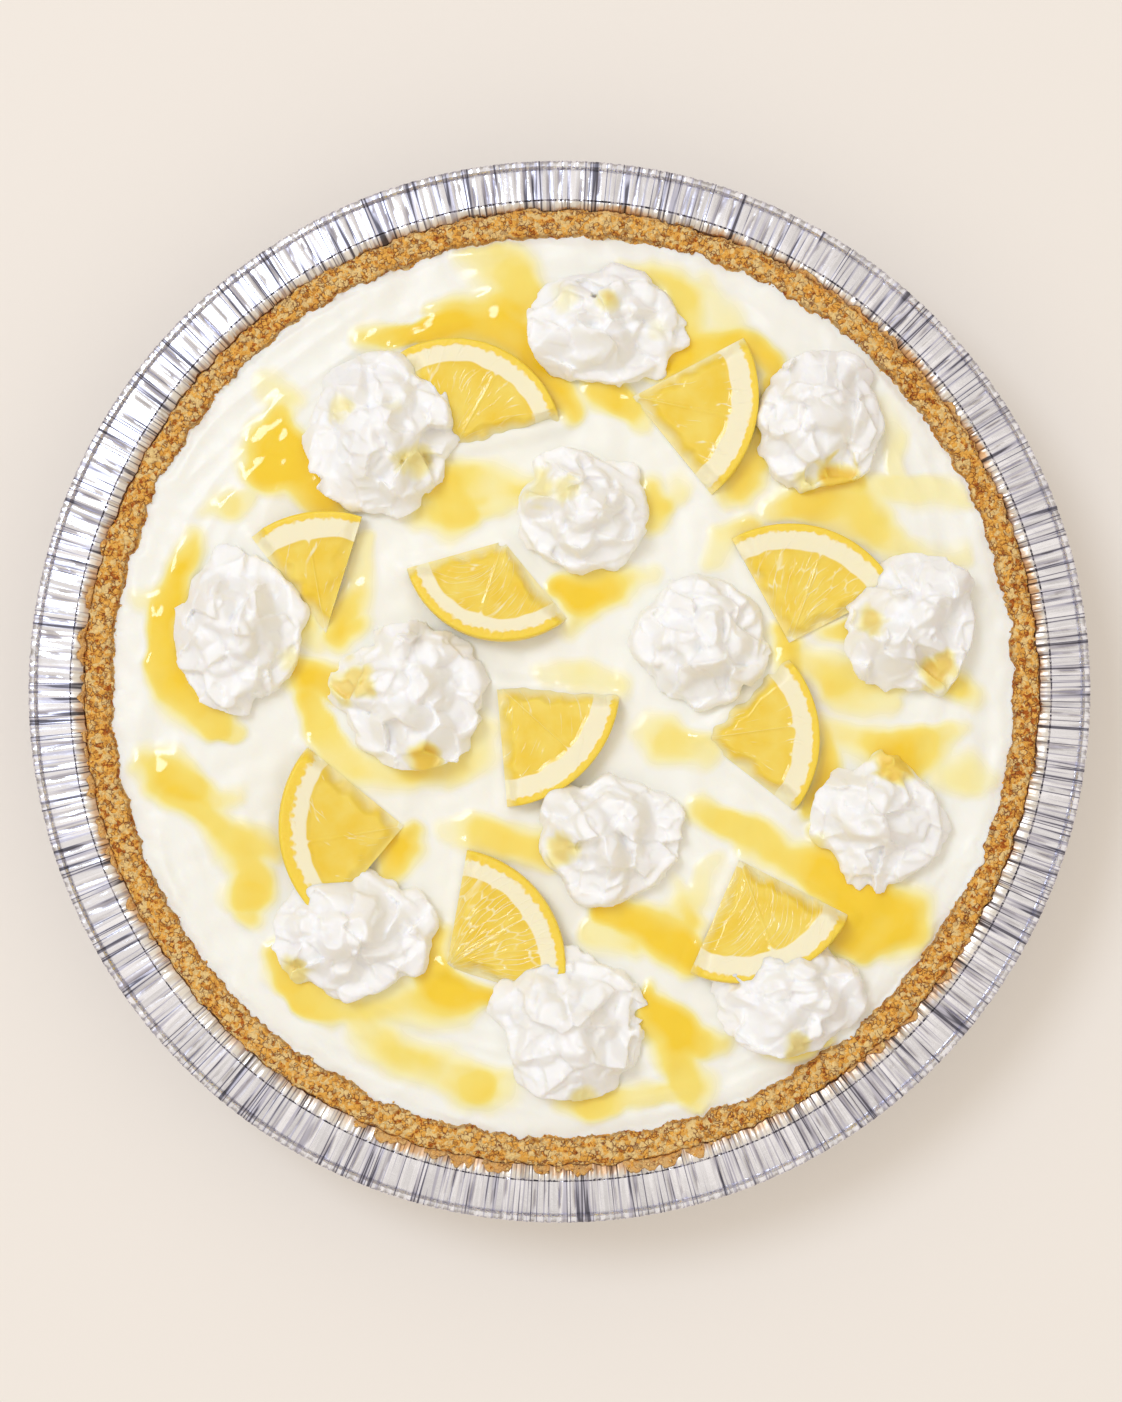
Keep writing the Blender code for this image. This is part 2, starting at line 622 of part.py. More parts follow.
def main():
    for obj in list(bpy.data.objects):
        bpy.data.objects.remove(obj)
    scene = bpy.context.scene
    collection = bpy.data.collections.new(COLLECTION_NAME)
    scratch = bpy.data.collections.new("cutters")
    scene.collection.children.link(collection)
    scene.collection.children.link(scratch)

    make_pan(collection, scratch)
    make_crust(collection, scratch)
    filling = make_filling(collection, scratch)

    lemon = make_material("lemon flesh", (0.92, 0.72, 0.16), 0.35)
    for index, place in enumerate(SLICES):
        make_slice(index, place, collection, scratch, lemon)

    whipped = make_material("whipped cream", (0.95, 0.94, 0.90), 0.6)
    for index, place in enumerate(DOLLOPS):
        dollop = make_dollop(index, place, collection, whipped)
        rooms = [
            copy_of(scratch.objects[f"lemon_slice_{number + 1:02d}_room"], scratch)
            for number, slice_place in enumerate(SLICES)
            if near(place, slice_place, slice_place[2] + max(place[2], place[3]) / 2)
        ]
        if rooms:
            combine(dollop, "DIFFERENCE", rooms, "slice_rooms")
            keep_largest(dollop)

    beads = [make_bead(f"bead_{n + 1:02d}", points, scratch) for n, points in enumerate(BEADS)]
    combine(filling, "UNION", beads, "sauce_beads")
    rooms = [make_dollop_room(index, place, scratch) for index, place in enumerate(DOLLOPS)]
    rooms += [make_slice_room(index, place, scratch) for index, place in enumerate(SLICES)]
    combine(filling, "DIFFERENCE", rooms, "topping_rooms")
    keep_largest(filling)

    for obj in list(scratch.objects):
        bpy.data.objects.remove(obj)
    for obj in collection.objects:
        obj.data.shade_smooth()
        obj.data.set_sharp_from_angle(angle=SHARP_ANGLE)


main()
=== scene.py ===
"""Lemon cheesecake pie in its foil pan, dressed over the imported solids.

Pieces: a pleated foil pan, a crumb crust with loose crumbs, a lemon cream with
drizzled sauce, thirteen dollops of whipped cream and ten wedges of lemon.
Metres, +Z up, origin under the middle of the pan. Inside the functions lengths are
in millimetres, and turn to metres where a mesh is written.
"""

import math
import random
from contextlib import contextmanager
from functools import partial

import bpy
import numpy as np
from bpy.props import FloatProperty, FloatVectorProperty, IntProperty, PointerProperty
from bpy.types import NodeSocket, Operator, Panel, PropertyGroup
from mathutils import Matrix, Vector, noise


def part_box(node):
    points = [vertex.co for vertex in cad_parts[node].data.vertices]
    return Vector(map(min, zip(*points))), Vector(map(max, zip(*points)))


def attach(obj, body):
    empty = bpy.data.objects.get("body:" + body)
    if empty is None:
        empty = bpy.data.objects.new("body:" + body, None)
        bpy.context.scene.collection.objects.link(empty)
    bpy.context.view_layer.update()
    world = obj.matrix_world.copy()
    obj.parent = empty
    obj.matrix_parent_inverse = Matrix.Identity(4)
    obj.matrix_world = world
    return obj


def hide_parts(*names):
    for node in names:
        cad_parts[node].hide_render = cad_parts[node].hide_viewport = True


bl_info = {
    "name": "Lemon Cheesecake Pie",
    "version": (1, 0, 0),
    "blender": (4, 5, 0),
    "location": "View3D > Sidebar > Pie",
    "description": "Builds a lemon cheesecake pie in a pleated foil pan, with its stage",
    "category": "Add Mesh",
}

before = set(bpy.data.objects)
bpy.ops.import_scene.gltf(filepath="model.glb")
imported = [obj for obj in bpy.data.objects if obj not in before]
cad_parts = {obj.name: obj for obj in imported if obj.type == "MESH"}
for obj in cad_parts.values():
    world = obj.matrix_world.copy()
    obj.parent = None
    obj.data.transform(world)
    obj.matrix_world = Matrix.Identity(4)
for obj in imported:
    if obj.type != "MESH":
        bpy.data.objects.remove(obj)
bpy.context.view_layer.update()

MM = 0.001
MERGE_DISTANCE = 0.002 * MM
SAME_RING = 0.01            # points this close are on one ring
ON_AXIS = 0.5               # points nearer than this to the axis are at a fan's middle

# --- the pie's own sizes, as the solids have them ------------------------------

WALL_FOOT = (86.5, 2.5)             # radius and height
WALL_MOUTH = (104.4, 28.5)
CRUST_INNER_RADIUS = 97.3
CRUST_OUTER_RADIUS = 102.8
CRUMB_PITCH = 4.3
OFF_CENTRE = math.radians(60)       # the way that the crust was pressed off centre
CREAM_EDGE_HEIGHT = 29.6
CREAM_CROWN = 1.6
CREAM_BASE = (79.0, 5.3)            # radius and height of the cream's underside
SLICE_THICKNESS = 3.5

# x, y, width, depth and height in millimetres
DOLLOPS = (
    (10.7, 78.0, 33.5, 27.5, 17.0),
    (-38.0, 55.0, 32.0, 34.0, 18.0),
    (5.0, 38.3, 31.0, 28.5, 17.0),
    (57.0, 57.0, 28.5, 30.5, 17.0),
    (-67.6, 13.6, 28.5, 36.0, 17.5),
    (-31.3, -0.9, 33.5, 30.0, 18.0),
    (30.8, 11.3, 30.0, 29.5, 17.0),
    (76.4, 13.2, 29.5, 31.0, 16.5),
    (11.5, -31.3, 32.5, 29.5, 17.5),
    (69.3, -28.2, 29.5, 28.5, 16.5),
    (-43.6, -52.2, 34.0, 28.5, 17.0),
    (2.4, -71.2, 34.0, 31.5, 17.0),
    (49.0, -65.0, 32.0, 24.5, 14.0),
)

# tip x and y, radius in millimetres, first and last angle, tilt in degrees
SLICES = (
    (-22.6, 52.3, 23.5, 14, 120, 3),
    (15.8, 63.2, 27.0, -51, 28, 2),
    (-50.1, 12.8, 26.0, 72.6, 128, 3),
    (-12.1, 31.9, 21.5, 196, 309, 7),
    (49.3, 10.6, 25.5, 27, 119, 2),
    (-13.4, 1.6, 26.5, 275, 355, 2),
    (30.6, -10.0, 25.2, -38, 44, 2),
    (-33.8, -28.8, 26.6, 141, 230, 8),
    (-24.1, -59.1, 25.6, -16.5, 80, 2),
    (38.7, -36.6, 26.2, 246.5, 333, 9),
)

# Angles of the walls between a slice's segments, in degrees, how strongly its juice sac
# lines show (sac walls and painted glints), 0 to 1, and how wide its rind is
SLICE_FLESH = (
    ((60,), 0.3, 1.0),
    ((-12, 27), 0.05, 1.0),
    ((100,), 0.1, 1.0),
    ((253,), 0.45, 1.2),
    ((71,), 0.5, 1.0),
    ((318,), 0.08, 1.0),
    ((8,), 0.15, 1.0),
    ((189,), 0.0, 1.7),
    ((10, 33, 60), 1.0, 1.2),
    ((290,), 0.5, 1.0),
)

# How far the first side, the last side and the tip of each slice have sunk, 0 to 1
SLICE_SINKS = (
    (1.0, 0.8, 1.0),
    (0.7, 0.6, 0.3),
    (0.2, 0.7, 0.6),
    (0.7, 0.8, 1.0),
    (0.6, 0.5, 0.8),
    (0.6, 0.9, 1.0),
    (0.8, 0.9, 1.0),
    (0.7, 0.3, 0.7),
    (0.8, 0.4, 0.5),
    (0.5, 0.8, 0.8),
)

# Sauce: each stroke is (x, y, half width in millimetres, thickness 0 to 1) at its points
SAUCE = (
    ((-16, 95, 6, 0.42), (-11, 89.5, 6.5, 0.5), (-6.5, 84.5, 4, 0.62)),
    ((-42, 76, 2, 0.6), (-37.5, 76.3, 2.3, 0.9), (-31, 76.8, 2.5, 1), (-25, 78, 3.2, 0.95),
     (-20, 79.5, 3.8, 1), (-13, 78.5, 4.6, 1), (-7, 74, 4.6, 1), (-3, 68, 3.8, 1),
     (0, 64, 3.2, 0.95), (2.5, 60.5, 2.2, 0.7)),
    ((-28, 82, 1.8, 0.4), (-20, 83.5, 2.8, 0.55), (-10, 81.5, 3.6, 0.8)),
    ((-59, 62, 3.6, 0.5), (-62, 65.5, 4, 0.38)),
    ((-59.5, 58, 3.6, 0.85), (-60.5, 51, 7, 1), (-61, 48.5, 6.8, 1)),
    ((-57, 49.5, 6, 1), (-53, 45, 5, 1), (-50.5, 41, 4, 1), (-48, 38, 2.8, 0.9)),
    ((-76, 38, 2, 0.3), (-71, 40, 3.4, 0.58), (-67.5, 42, 2.2, 0.35)),
    ((-31, 48.5, 3, 0.5), (-25, 43, 5.4, 0.75), (-22.5, 39, 4.8, 0.72), (-30, 38, 3, 0.5)),
    ((-24, 44.5, 4.8, 0.62), (-14, 45, 4, 0.5), (-6, 43.5, 2.8, 0.55), (0, 44, 1.6, 0.4)),
    ((-19, 40.5, 3, 0.45), (-8, 40.5, 1.8, 0.38)),
    ((-79, 32, 1.8, 0.6), (-81.5, 27.5, 2.8, 0.85), (-83.5, 21, 3.4, 0.85), (-85, 14, 3.4, 0.8),
     (-85.5, 7, 3.6, 0.82), (-83, 0.5, 4.4, 0.85), (-79, -3.5, 5, 0.82), (-74, -6.5, 4, 0.65),
     (-70.5, -8.5, 2.6, 0.45)),
    ((-89.5, 20, 3, 0.28), (-84, 20, 3.2, 0.4)),
    ((-43, 33, 2.2, 0.3), (-44.5, 24, 2.8, 0.38), (-46, 17, 3.4, 0.75), (-47, 12.5, 3.4, 0.88),
     (-43.5, 13, 2.6, 0.7)),
    ((-57, 21, 2.6, 0.45), (-55, 14.5, 3, 0.52), (-52, 11, 2.2, 0.35)),
    ((-59, 6.5, 2.6, 0.8), (-54.5, 3, 4.2, 0.92), (-49, 1.5, 3.8, 0.92), (-44, 3, 2.8, 0.8),
     (-40, 4, 1.8, 0.6)),
    ((14, 91, 1.4, 0.3), (20, 90, 2.4, 0.5), (24.5, 87.5, 3.4, 0.66), (27.5, 83, 3.6, 0.7),
     (29, 78.5, 3.4, 0.62)),
    ((30.5, 86.5, 3, 0.33), (34.5, 81.5, 3.6, 0.36), (37, 78, 3, 0.33)),
    ((16, 70, 2.2, 0.75), (22, 71.5, 3.4, 0.95), (27, 73, 3.8, 1), (32, 75, 3, 0.92),
     (38, 75, 3.2, 0.92), (43, 72.5, 3.8, 0.95), (46, 68.5, 3, 0.8)),
    ((8, 64, 3, 0.75), (12, 63, 3.2, 0.85), (15.5, 61, 2.6, 0.75), (19, 57.5, 2.2, 0.4)),
    ((45, 65, 2.4, 0.85), (45, 58.5, 2.6, 0.9), (43, 52, 2.4, 0.75), (41, 48, 3.6, 0.9),
     (38, 44.5, 3.2, 0.8), (34, 42, 2.2, 0.45)),
    ((55.5, 46.5, 2.4, 0.9), (60, 46, 3.6, 1), (63, 44, 3, 0.9)),
    ((45, 39.5, 3, 0.45), (52, 40.5, 4.4, 0.75), (58, 40, 4.6, 0.82), (63, 38, 4.8, 0.75),
     (68.5, 35, 4.4, 0.62), (73.5, 31, 3, 0.45), (79, 29.5, 2.4, 0.32), (87, 29, 2.6, 0.3)),
    ((66, 42.5, 3.2, 0.38), (74, 43.5, 4.2, 0.34), (84, 43, 3.8, 0.34), (88.5, 41, 2.2, 0.3)),
    ((40, 35.5, 3.2, 0.6), (36, 33.5, 3, 0.48), (34, 29, 2.4, 0.32)),
    ((70, 62, 2.4, 0.2), (72.5, 55, 2.4, 0.28), (73, 48, 2.2, 0.28)),
    ((19.5, 44.5, 2.4, 0.6), (21, 40, 3.4, 0.8), (20, 36, 2.6, 0.6)),
    ((25.5, 42, 2.8, 0.36), (24, 46, 2.2, 0.26)),
    ((0, 22.5, 2.8, 0.95), (5, 21, 4.8, 1), (10, 22, 4.2, 0.85), (15, 23.5, 2.8, 0.5),
     (19, 25, 2, 0.28)),
    ((6.5, 17, 2.8, 0.45), (2.5, 13, 1.8, 0.4)),
    ((47, 12, 1.8, 0.8), (49.5, 8.5, 2.8, 0.9), (50, 4.5, 2.8, 0.7)),
    ((58, 12.5, 2.4, 0.6), (62, 14, 2.6, 0.72), (67, 15, 2.6, 0.8)),
    ((53, 6, 2.8, 0.5), (59, 3, 4.4, 0.55), (66, 2, 4.4, 0.55), (72, 1, 3.4, 0.42)),
    ((78, 5, 2.2, 0.75), (81.5, 3.5, 3, 0.85), (85, 1, 2.8, 0.75), (89, -1, 2.2, 0.42)),
    ((-3, 3.8, 2.2, 0.28), (5, 3.8, 2.8, 0.42), (12, 1.8, 2.4, 0.38)),
    ((-89.5, -14.5, 3, 0.5), (-84.5, -17.5, 4.2, 0.75), (-79, -20.5, 4.2, 0.75),
     (-73.5, -22.5, 3, 0.5), (-68, -21.5, 1.8, 0.3)),
    ((-82, -21.5, 3.2, 0.6), (-77, -26, 3.8, 0.6), (-72, -30.5, 4.2, 0.6), (-66, -33, 3.6, 0.6),
     (-61.5, -33.5, 2.6, 0.6)),
    ((-69, -33, 3.2, 0.6), (-66, -39, 3.8, 0.65), (-66.5, -44.5, 4.8, 0.8),
     (-66, -48.5, 3.4, 0.55)),
    ((-54.5, -2, 2.8, 0.82), (-52, -7, 3.4, 0.62), (-50, -12, 3.8, 0.5), (-44, -17, 4.2, 0.48),
     (-37, -18.5, 3.8, 0.48), (-30, -16.5, 3.4, 0.72), (-24.5, -17.5, 3.2, 0.5),
     (-19, -15.5, 3.6, 0.42), (-15.5, -8, 3.2, 0.38)),
    ((-31, -30.5, 1.8, 0.65), (-34, -34.5, 3.8, 0.95), (-35.5, -38, 3.6, 0.92)),
    ((-24.5, -30, 2.6, 0.28), (-18, -31, 3.8, 0.52), (-11, -33, 3.8, 0.72), (-6, -34, 3.2, 0.7),
     (0, -34, 3.2, 0.75)),
    ((-29.5, -50, 2.4, 0.65), (-27.5, -55, 3.8, 1), (-27.5, -60, 4.2, 1), (-25, -64.5, 4.4, 1),
     (-19, -66, 3.4, 1), (-14, -66, 2.4, 0.9)),
    ((-60, -57, 3.2, 0.72), (-57.5, -61.5, 4.2, 0.82), (-54, -65, 4.2, 0.74),
     (-48, -68, 3.8, 0.62), (-42, -68.5, 4.2, 0.56), (-35, -67.5, 4.2, 0.56),
     (-29, -67, 4.2, 0.62), (-21, -68, 3.2, 0.6)),
    ((-43.5, -70, 4.2, 0.48), (-40.5, -74, 4.2, 0.48), (-35, -78, 4.2, 0.54),
     (-29.5, -79.5, 4.2, 0.66), (-24, -82, 4, 0.54), (-18, -85, 5.2, 0.74),
     (-11.5, -85, 4, 0.36)),
    ((18.5, -7.5, 3.6, 0.33), (24, -10.5, 5, 0.46), (30, -12.5, 4.2, 0.46)),
    ((57.5, -8, 3.2, 0.4), (63, -10, 3.2, 0.5), (69, -12, 3.6, 0.85), (74, -14, 4.8, 1),
     (79, -12, 4.2, 0.8), (83, -9, 2.8, 0.5), (86.5, -7.5, 2, 0.3)),
    ((82, -17, 3.2, 0.33), (88, -18, 4.2, 0.4), (92, -19, 2.2, 0.28)),
    ((58, 1, 3, 0.5), (64, -1.5, 3.6, 0.48), (71, -3.5, 3, 0.4)),
    ((57.5, -8, 1.6, 0.5), (57.5, -15, 2.4, 0.8), (56, -21, 2.8, 0.95), (53, -25.5, 2.6, 0.75)),
    ((31, -25, 3.2, 0.5), (36, -28, 4.2, 0.6), (41.5, -32, 4.2, 0.7), (47, -35, 3.4, 0.66),
     (53, -37.5, 3.4, 0.82), (58, -40.5, 4.2, 1)),
    ((58, -41, 4.2, 1), (64, -45, 6.4, 1), (69, -49, 7.8, 1), (73, -49, 6.6, 0.95)),
    ((62, -51, 5.2, 1), (66, -54, 4.2, 0.9)),
    ((54.5, -31, 2.2, 0.6), (57.5, -36.5, 2.4, 0.75)),
    ((10.5, -47, 3.2, 1), (15, -48.5, 4.2, 1), (20, -50.5, 4.6, 0.92), (25, -54.5, 5, 0.92),
     (28.5, -57.5, 3.6, 0.9)),
    ((7.5, -52, 3.4, 0.4), (16, -55, 3, 0.5)),
    ((25.5, -46, 4, 0.45), (30, -43, 3.2, 0.38), (33, -38, 3, 0.28)),
    ((29, -49, 3, 0.6), (24.5, -41, 2, 0.3)),
    ((19, -65.5, 2.6, 1), (21.5, -70, 5, 1), (25, -72.5, 5.2, 1), (30, -74.5, 3.8, 0.8),
     (34.5, -75.5, 2.2, 0.5)),
    ((24, -77, 4, 0.7), (26.5, -82, 3.8, 0.62), (29, -86.5, 4.2, 0.6), (30, -88.5, 3, 0.45)),
    ((1, -87.5, 2.6, 0.5), (7, -88.5, 3.2, 0.65), (14, -87, 2.6, 0.55), (21, -86.5, 2.6, 0.5),
     (28, -86.5, 3, 0.5)),
    ((46, -76, 1.6, 0.5), (51, -76.5, 2.2, 0.7), (57, -76, 2, 0.5)),
)

# Sauce on the dollops: x, y, radius in millimetres, strength 0 to 1
STAINS = (
    (10.5, 83.2, 1.8, 0.8),
    (1.2, 84.3, 3.4, 0.3),
    (21.0, 78.0, 3.0, 0.25),
    (-47.2, 60.2, 2.8, 0.4),
    (-35.0, 60.5, 2.2, 0.25),
    (-31.0, 49.0, 3.6, 0.55),
    (-4.0, 43.4, 3.6, 0.45),
    (1.0, 43.0, 2.8, 0.45),
    (53.0, 44.0, 3.0, 0.5),
    (59.5, 45.6, 4.2, 0.95),
    (0.1, -34.1, 3.6, 0.65),
    (-44.0, 1.9, 4.2, 0.7),
    (-29.0, -14.0, 3.4, 0.95),
    (-57.0, 7.0, 2.6, 0.4),
    (66.5, 15.0, 2.6, 0.7),
    (81.0, 4.0, 3.6, 0.8),
    (72.0, -15.5, 4.2, 0.9),
    (55.0, -33.0, 2.6, 0.5),
    (51.0, -76.0, 3.0, 0.6),
    (5.0, -87.0, 3.0, 0.5),
    (-57.0, -60.0, 3.2, 0.6),
)


# --- helpers -------------------------------------------------------------------

def linear(code):
    """Linear red, green and blue of an sRGB hex colour."""
    channels = [int(code[start:start + 2], 16) / 255 for start in (1, 3, 5)]
    return tuple(c / 12.92 if c <= 0.04045 else ((c + 0.055) / 1.055) ** 2.4 for c in channels)


def fill(node, inputs):
    """Give a node's inputs their values, or link them to other nodes' outputs."""
    for name, value in inputs.items():
        socket = node.inputs[name]
        if isinstance(value, NodeSocket):
            node.id_data.links.new(value, socket)
        else:
            socket.default_value = (*value, 1.0) if socket.type == "RGBA" else value


def add_node(tree, kind, inputs=(), take=0, stops=(), **settings):
    """Add a node and hand back one of its outputs; its inputs come in order or by name."""
    node = tree.nodes.new("ShaderNode" + kind)
    for name, value in settings.items():
        setattr(node, name, value)
    fill(node, inputs if isinstance(inputs, dict) else dict(enumerate(inputs)))
    if stops:
        for spot, _ in stops[2:]:
            node.color_ramp.elements.new(spot)
        for element, (spot, colour) in zip(node.color_ramp.elements, stops):
            element.position = spot
            element.color = (*colour, 1.0)
    return node.outputs[take]


def new_material(name, values):
    """A material, what adds nodes to it, and its shader with these plain values."""
    material = bpy.data.materials.new(name)
    material.use_nodes = True
    shader = material.node_tree.nodes["Principled BSDF"]
    fill(shader, values)
    return material, partial(add_node, material.node_tree), shader


def start_clean():
    """Object mode with nothing selected."""
    if bpy.context.object and bpy.context.object.mode != "OBJECT":
        bpy.ops.object.mode_set(mode="OBJECT")
    bpy.ops.object.select_all(action="DESELECT")


def take_new(name):
    """Name the object that the last operator added, and its mesh."""
    obj = bpy.context.object
    obj.name = name
    obj.data.name = name
    return obj


def pick(obj):
    start_clean()
    obj.select_set(True)
    bpy.context.view_layer.objects.active = obj


@contextmanager
def editing(obj, select="SELECT"):
    """Edit mode with all or none of the mesh selected, and object mode again."""
    pick(obj)
    bpy.ops.object.mode_set(mode="EDIT")
    if select:
        bpy.ops.mesh.select_all(action=select)
    yield
    bpy.ops.object.mode_set(mode="OBJECT")


def apply_modifier(obj, kind, **settings):
    """Add one modifier and apply it."""
    pick(obj)
    modifier = obj.modifiers.new(kind.lower(), kind)
    for name, value in settings.items():
        setattr(modifier, name, value)
    bpy.ops.object.modifier_apply(modifier=modifier.name)


def read_vectors(elements, name):
    flat = np.empty(3 * len(elements), dtype=np.float32)
    elements.foreach_get(name, flat)
    return flat.reshape(-1, 3).astype(float)


def coordinates(obj):
    return read_vectors(obj.data.vertices, "co") / MM


def vertex_normals(obj):
    return read_vectors(obj.data.vertex_normals, "vector")


def set_coordinates(obj, points):
    obj.data.vertices.foreach_set("co", (points * MM).astype(np.float32).ravel())
    obj.data.update()


def give_attributes(obj, **attributes):
    """Values, or vectors, that the material reads at each point of the mesh."""
    for name, values in attributes.items():
        kind, key = ("FLOAT", "value") if values.ndim == 1 else ("FLOAT_VECTOR", "vector")
        attribute = obj.data.attributes.new(name, kind, "POINT")
        attribute.data.foreach_set(key, values.astype(np.float32).ravel())


def stack(x, y, z=0.0):
    """Points from their coordinates, each a list or one number for all."""
    return np.column_stack(np.broadcast_arrays(x, y, z))


def polar(radius, angles, height=0.0):
    return stack(radius * np.cos(angles), radius * np.sin(angles), height)


def radius_of(points):
    return np.hypot(points[:, 0], points[:, 1])


def angle_of(points):
    return np.arctan2(points[:, 1], points[:, 0])


def smoothstep(values, low=0.0, high=1.0):
    share = np.clip((values - low) / (high - low), 0.0, 1.0)
    return share * share * (3.0 - 2.0 * share)


def smooth_min(first, second, width):
    blend = np.clip(0.5 + 0.5 * (second - first) / width, 0.0, 1.0)
    return second + (first - second) * blend - width * blend * (1.0 - blend)


def noise_shift(seed):
    """Where in the noise a seed reads, so that no two seeds give the same bumps."""
    return Vector((seed * 17.31, seed * 5.17, seed * 9.73))


def noise_at(points, pitch, seed):
    """Smooth noise of about -1 to 1 at points in millimetres, with a bump every pitch."""
    shift = noise_shift(seed)
    return np.array([2.0 * noise.noise(Vector(spot) + shift) for spot in points / pitch])


def cell_gaps(points, pitch=1.0, seed=0):
    """How much farther the second nearest cell is than the nearest, 0 at the cracks."""
    shift = noise_shift(seed)
    reaches = [noise.voronoi(Vector(spot) + shift)[0] for spot in points / pitch]
    return np.array([reach[1] - reach[0] for reach in reaches])


def finish_piece(obj, material, node):
    """Give the piece its finish, hang it under the root body and hide the solid that it replaces.
    """
    obj.data.materials.clear()
    obj.data.materials.append(material)
    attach(obj, "root")
    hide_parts(node)


def turn_profile(name, profile, steps):
    """A ring of edges, extruded and resized from one profile point to the next."""
    start_clean()
    radius, height = profile[0]
    bpy.ops.mesh.primitive_circle_add(
        vertices=steps, radius=radius * MM, location=(0, 0, height * MM))
    obj = take_new(name)
    bpy.ops.object.transform_apply(location=True, rotation=False, scale=False)
    with editing(obj):
        for next_radius, next_height in profile[1:]:
            rise = (next_height - height) * MM
            bpy.ops.mesh.extrude_region_move(TRANSFORM_OT_translate={"value": (0, 0, rise)})
            ratio = next_radius / radius
            bpy.ops.transform.resize(
                value=(ratio, ratio, 1.0), center_override=(0, 0, next_height * MM))
            radius, height = next_radius, next_height
    return obj


def select_ring(obj, radius, height):
    """Select the points of one ring, found by its place."""
    points = coordinates(obj)
    near = np.abs(radius_of(points) - radius) < SAME_RING
    near &= np.abs(points[:, 2] - height) < SAME_RING
    for element in (obj.data.vertices, obj.data.edges, obj.data.polygons):
        element.foreach_set("select", np.zeros(len(element), dtype=bool))
    obj.data.vertices.foreach_set("select", near)
    edges = np.empty(2 * len(obj.data.edges), dtype=np.int32)
    obj.data.edges.foreach_get("vertices", edges)
    obj.data.edges.foreach_set("select", near[edges.reshape(-1, 2)].all(axis=1))


def close_selection():
    """Close the selected flat ring with a fan of faces to its middle."""
    bpy.ops.mesh.extrude_region_move()
    bpy.ops.mesh.merge(type="CENTER")


def close_ring(obj, radius, height):
    pick(obj)
    select_ring(obj, radius, height)
    with editing(obj, select=None):
        close_selection()


def ring_numbers(points, profile):
    """Which profile point each mesh point was turned from."""
    reach = radius_of(points)
    gaps = [np.hypot(reach - radius, points[:, 2] - height) for radius, height in profile]
    return np.argmin(gaps, axis=0)


def outward_normals(obj):
    with editing(obj):
        bpy.ops.mesh.remove_doubles(threshold=MERGE_DISTANCE)
        bpy.ops.mesh.normals_make_consistent(inside=False)


def shade_smooth(obj, angle=None):
    pick(obj)
    if angle is None:
        bpy.ops.object.shade_smooth()
    else:
        bpy.ops.object.shade_smooth_by_angle(angle=math.radians(angle))


def ring_noise(angles, pitch, seed):
    """The solids' own noise round the pie."""
    reach = CRUST_INNER_RADIUS / pitch
    return np.array([
        2.0 * noise.noise(Vector((reach * math.cos(angle), reach * math.sin(angle), seed)))
        for angle in angles
    ])


def cream_height(radius):
    return CREAM_EDGE_HEIGHT + CREAM_CROWN * (1.0 - (radius / CRUST_INNER_RADIUS) ** 2)


def crust_edge(angles):
    """The crust's outer edge as the eye sees it, with the finer crumbs in it."""
    drift = 0.9 * np.cos(angles - OFF_CENTRE)
    return (CRUST_OUTER_RADIUS + drift + 0.3 * ring_noise(angles, 3.4, 9.0)
            + 0.16 * ring_noise(angles, 1.3, 12.0))


def cream_line(angles):
    """The ragged line where the crust meets the cream."""
    drift = 1.3 * np.cos(angles - OFF_CENTRE)
    return (CRUST_INNER_RADIUS + drift + 0.5 * ring_noise(angles, CRUMB_PITCH, 3.0)
            + 0.24 * ring_noise(angles, 1.9, 4.0) + 0.2 * ring_noise(angles, 0.9, 5.0))


def wall_radius(height):
    """Outer radius of the pan's wall between its foot and its mouth."""
    (foot, low), (mouth, high) = WALL_FOOT, WALL_MOUTH
    return foot + (height - low) / (high - low) * (mouth - foot)


# --- sizes and colours that a user would change -----------------------------------

def colour_of(name, description, code):
    return FloatVectorProperty(
        name=name, description=description, default=linear(code), subtype="COLOR",
        min=0.0, max=1.0, size=3,
    )


def length_of(name, description, millimetres):
    return FloatProperty(
        name=name, description=description, default=millimetres * MM, unit="LENGTH", min=0.0,
    )


class PieFoilSettings(PropertyGroup):
    pleat_depth: length_of("Pleat depth", "How deep the deepest pleats of the flange are", 0.5)
    foil: colour_of("Foil", "Bare foil", "#F0F0F7")
    # Painted shade: these two colours darken the foil in its pleats, hair creases and crimps, where
    # shade falls
    crease: colour_of("Crease", "Foil down in the pleats", "#CCCAD8")
    deep_crease: colour_of("Deep crease", "Foil that is folded on itself", "#4C4A56")
    buttered: colour_of("Buttered foil", "Foil above the crust, with baked butter on it", "#F8F1E0")
    browned: colour_of("Browned foil", "Foil beside the crust, with browned butter", "#E6B67E")


class PieCrustSettings(PropertyGroup):
    crumb_relief: length_of("Crumb relief", "How far the crumbs stand out of the crust", 0.5)
    crumbs: IntProperty(
        name="Loose crumbs", description="How many lie on the crust", default=2600, min=0)
    crumb: colour_of("Crumb", "Most of the biscuit crumb", "#FFBE52")
    toasted: colour_of("Toasted", "Toasted grains", "#BC620E")
    pale: colour_of("Pale", "Pale grains", "#FFDC94")
    # Painted shade: this colour darkens the cracks, the groove and the inner edge; darker loose
    # crumbs are also tinted towards it
    crack: colour_of("Crack", "Down between the crumbs", "#762C00")
    lap: colour_of("Lap", "Thin crust that laps over the foil", "#E2AE6C")


class PieCreamSettings(PropertyGroup):
    sauce_rise: length_of("Sauce rise", "How far thick sauce stands out of the cream", 0.9)
    swirl: length_of("Swirl", "Depth of the spatula's marks", 0.45)
    cream: colour_of("Cream", "Set lemon cream", "#F5F4EC")
    thin_sauce: colour_of("Thin sauce", "Sauce where the cream shows through", "#F8EEB2")
    middling_sauce: colour_of("Middling sauce", "Sauce of middling thickness", "#F6E072")
    sauce: colour_of("Sauce", "Sauce where it lies thick", "#F5CF28")


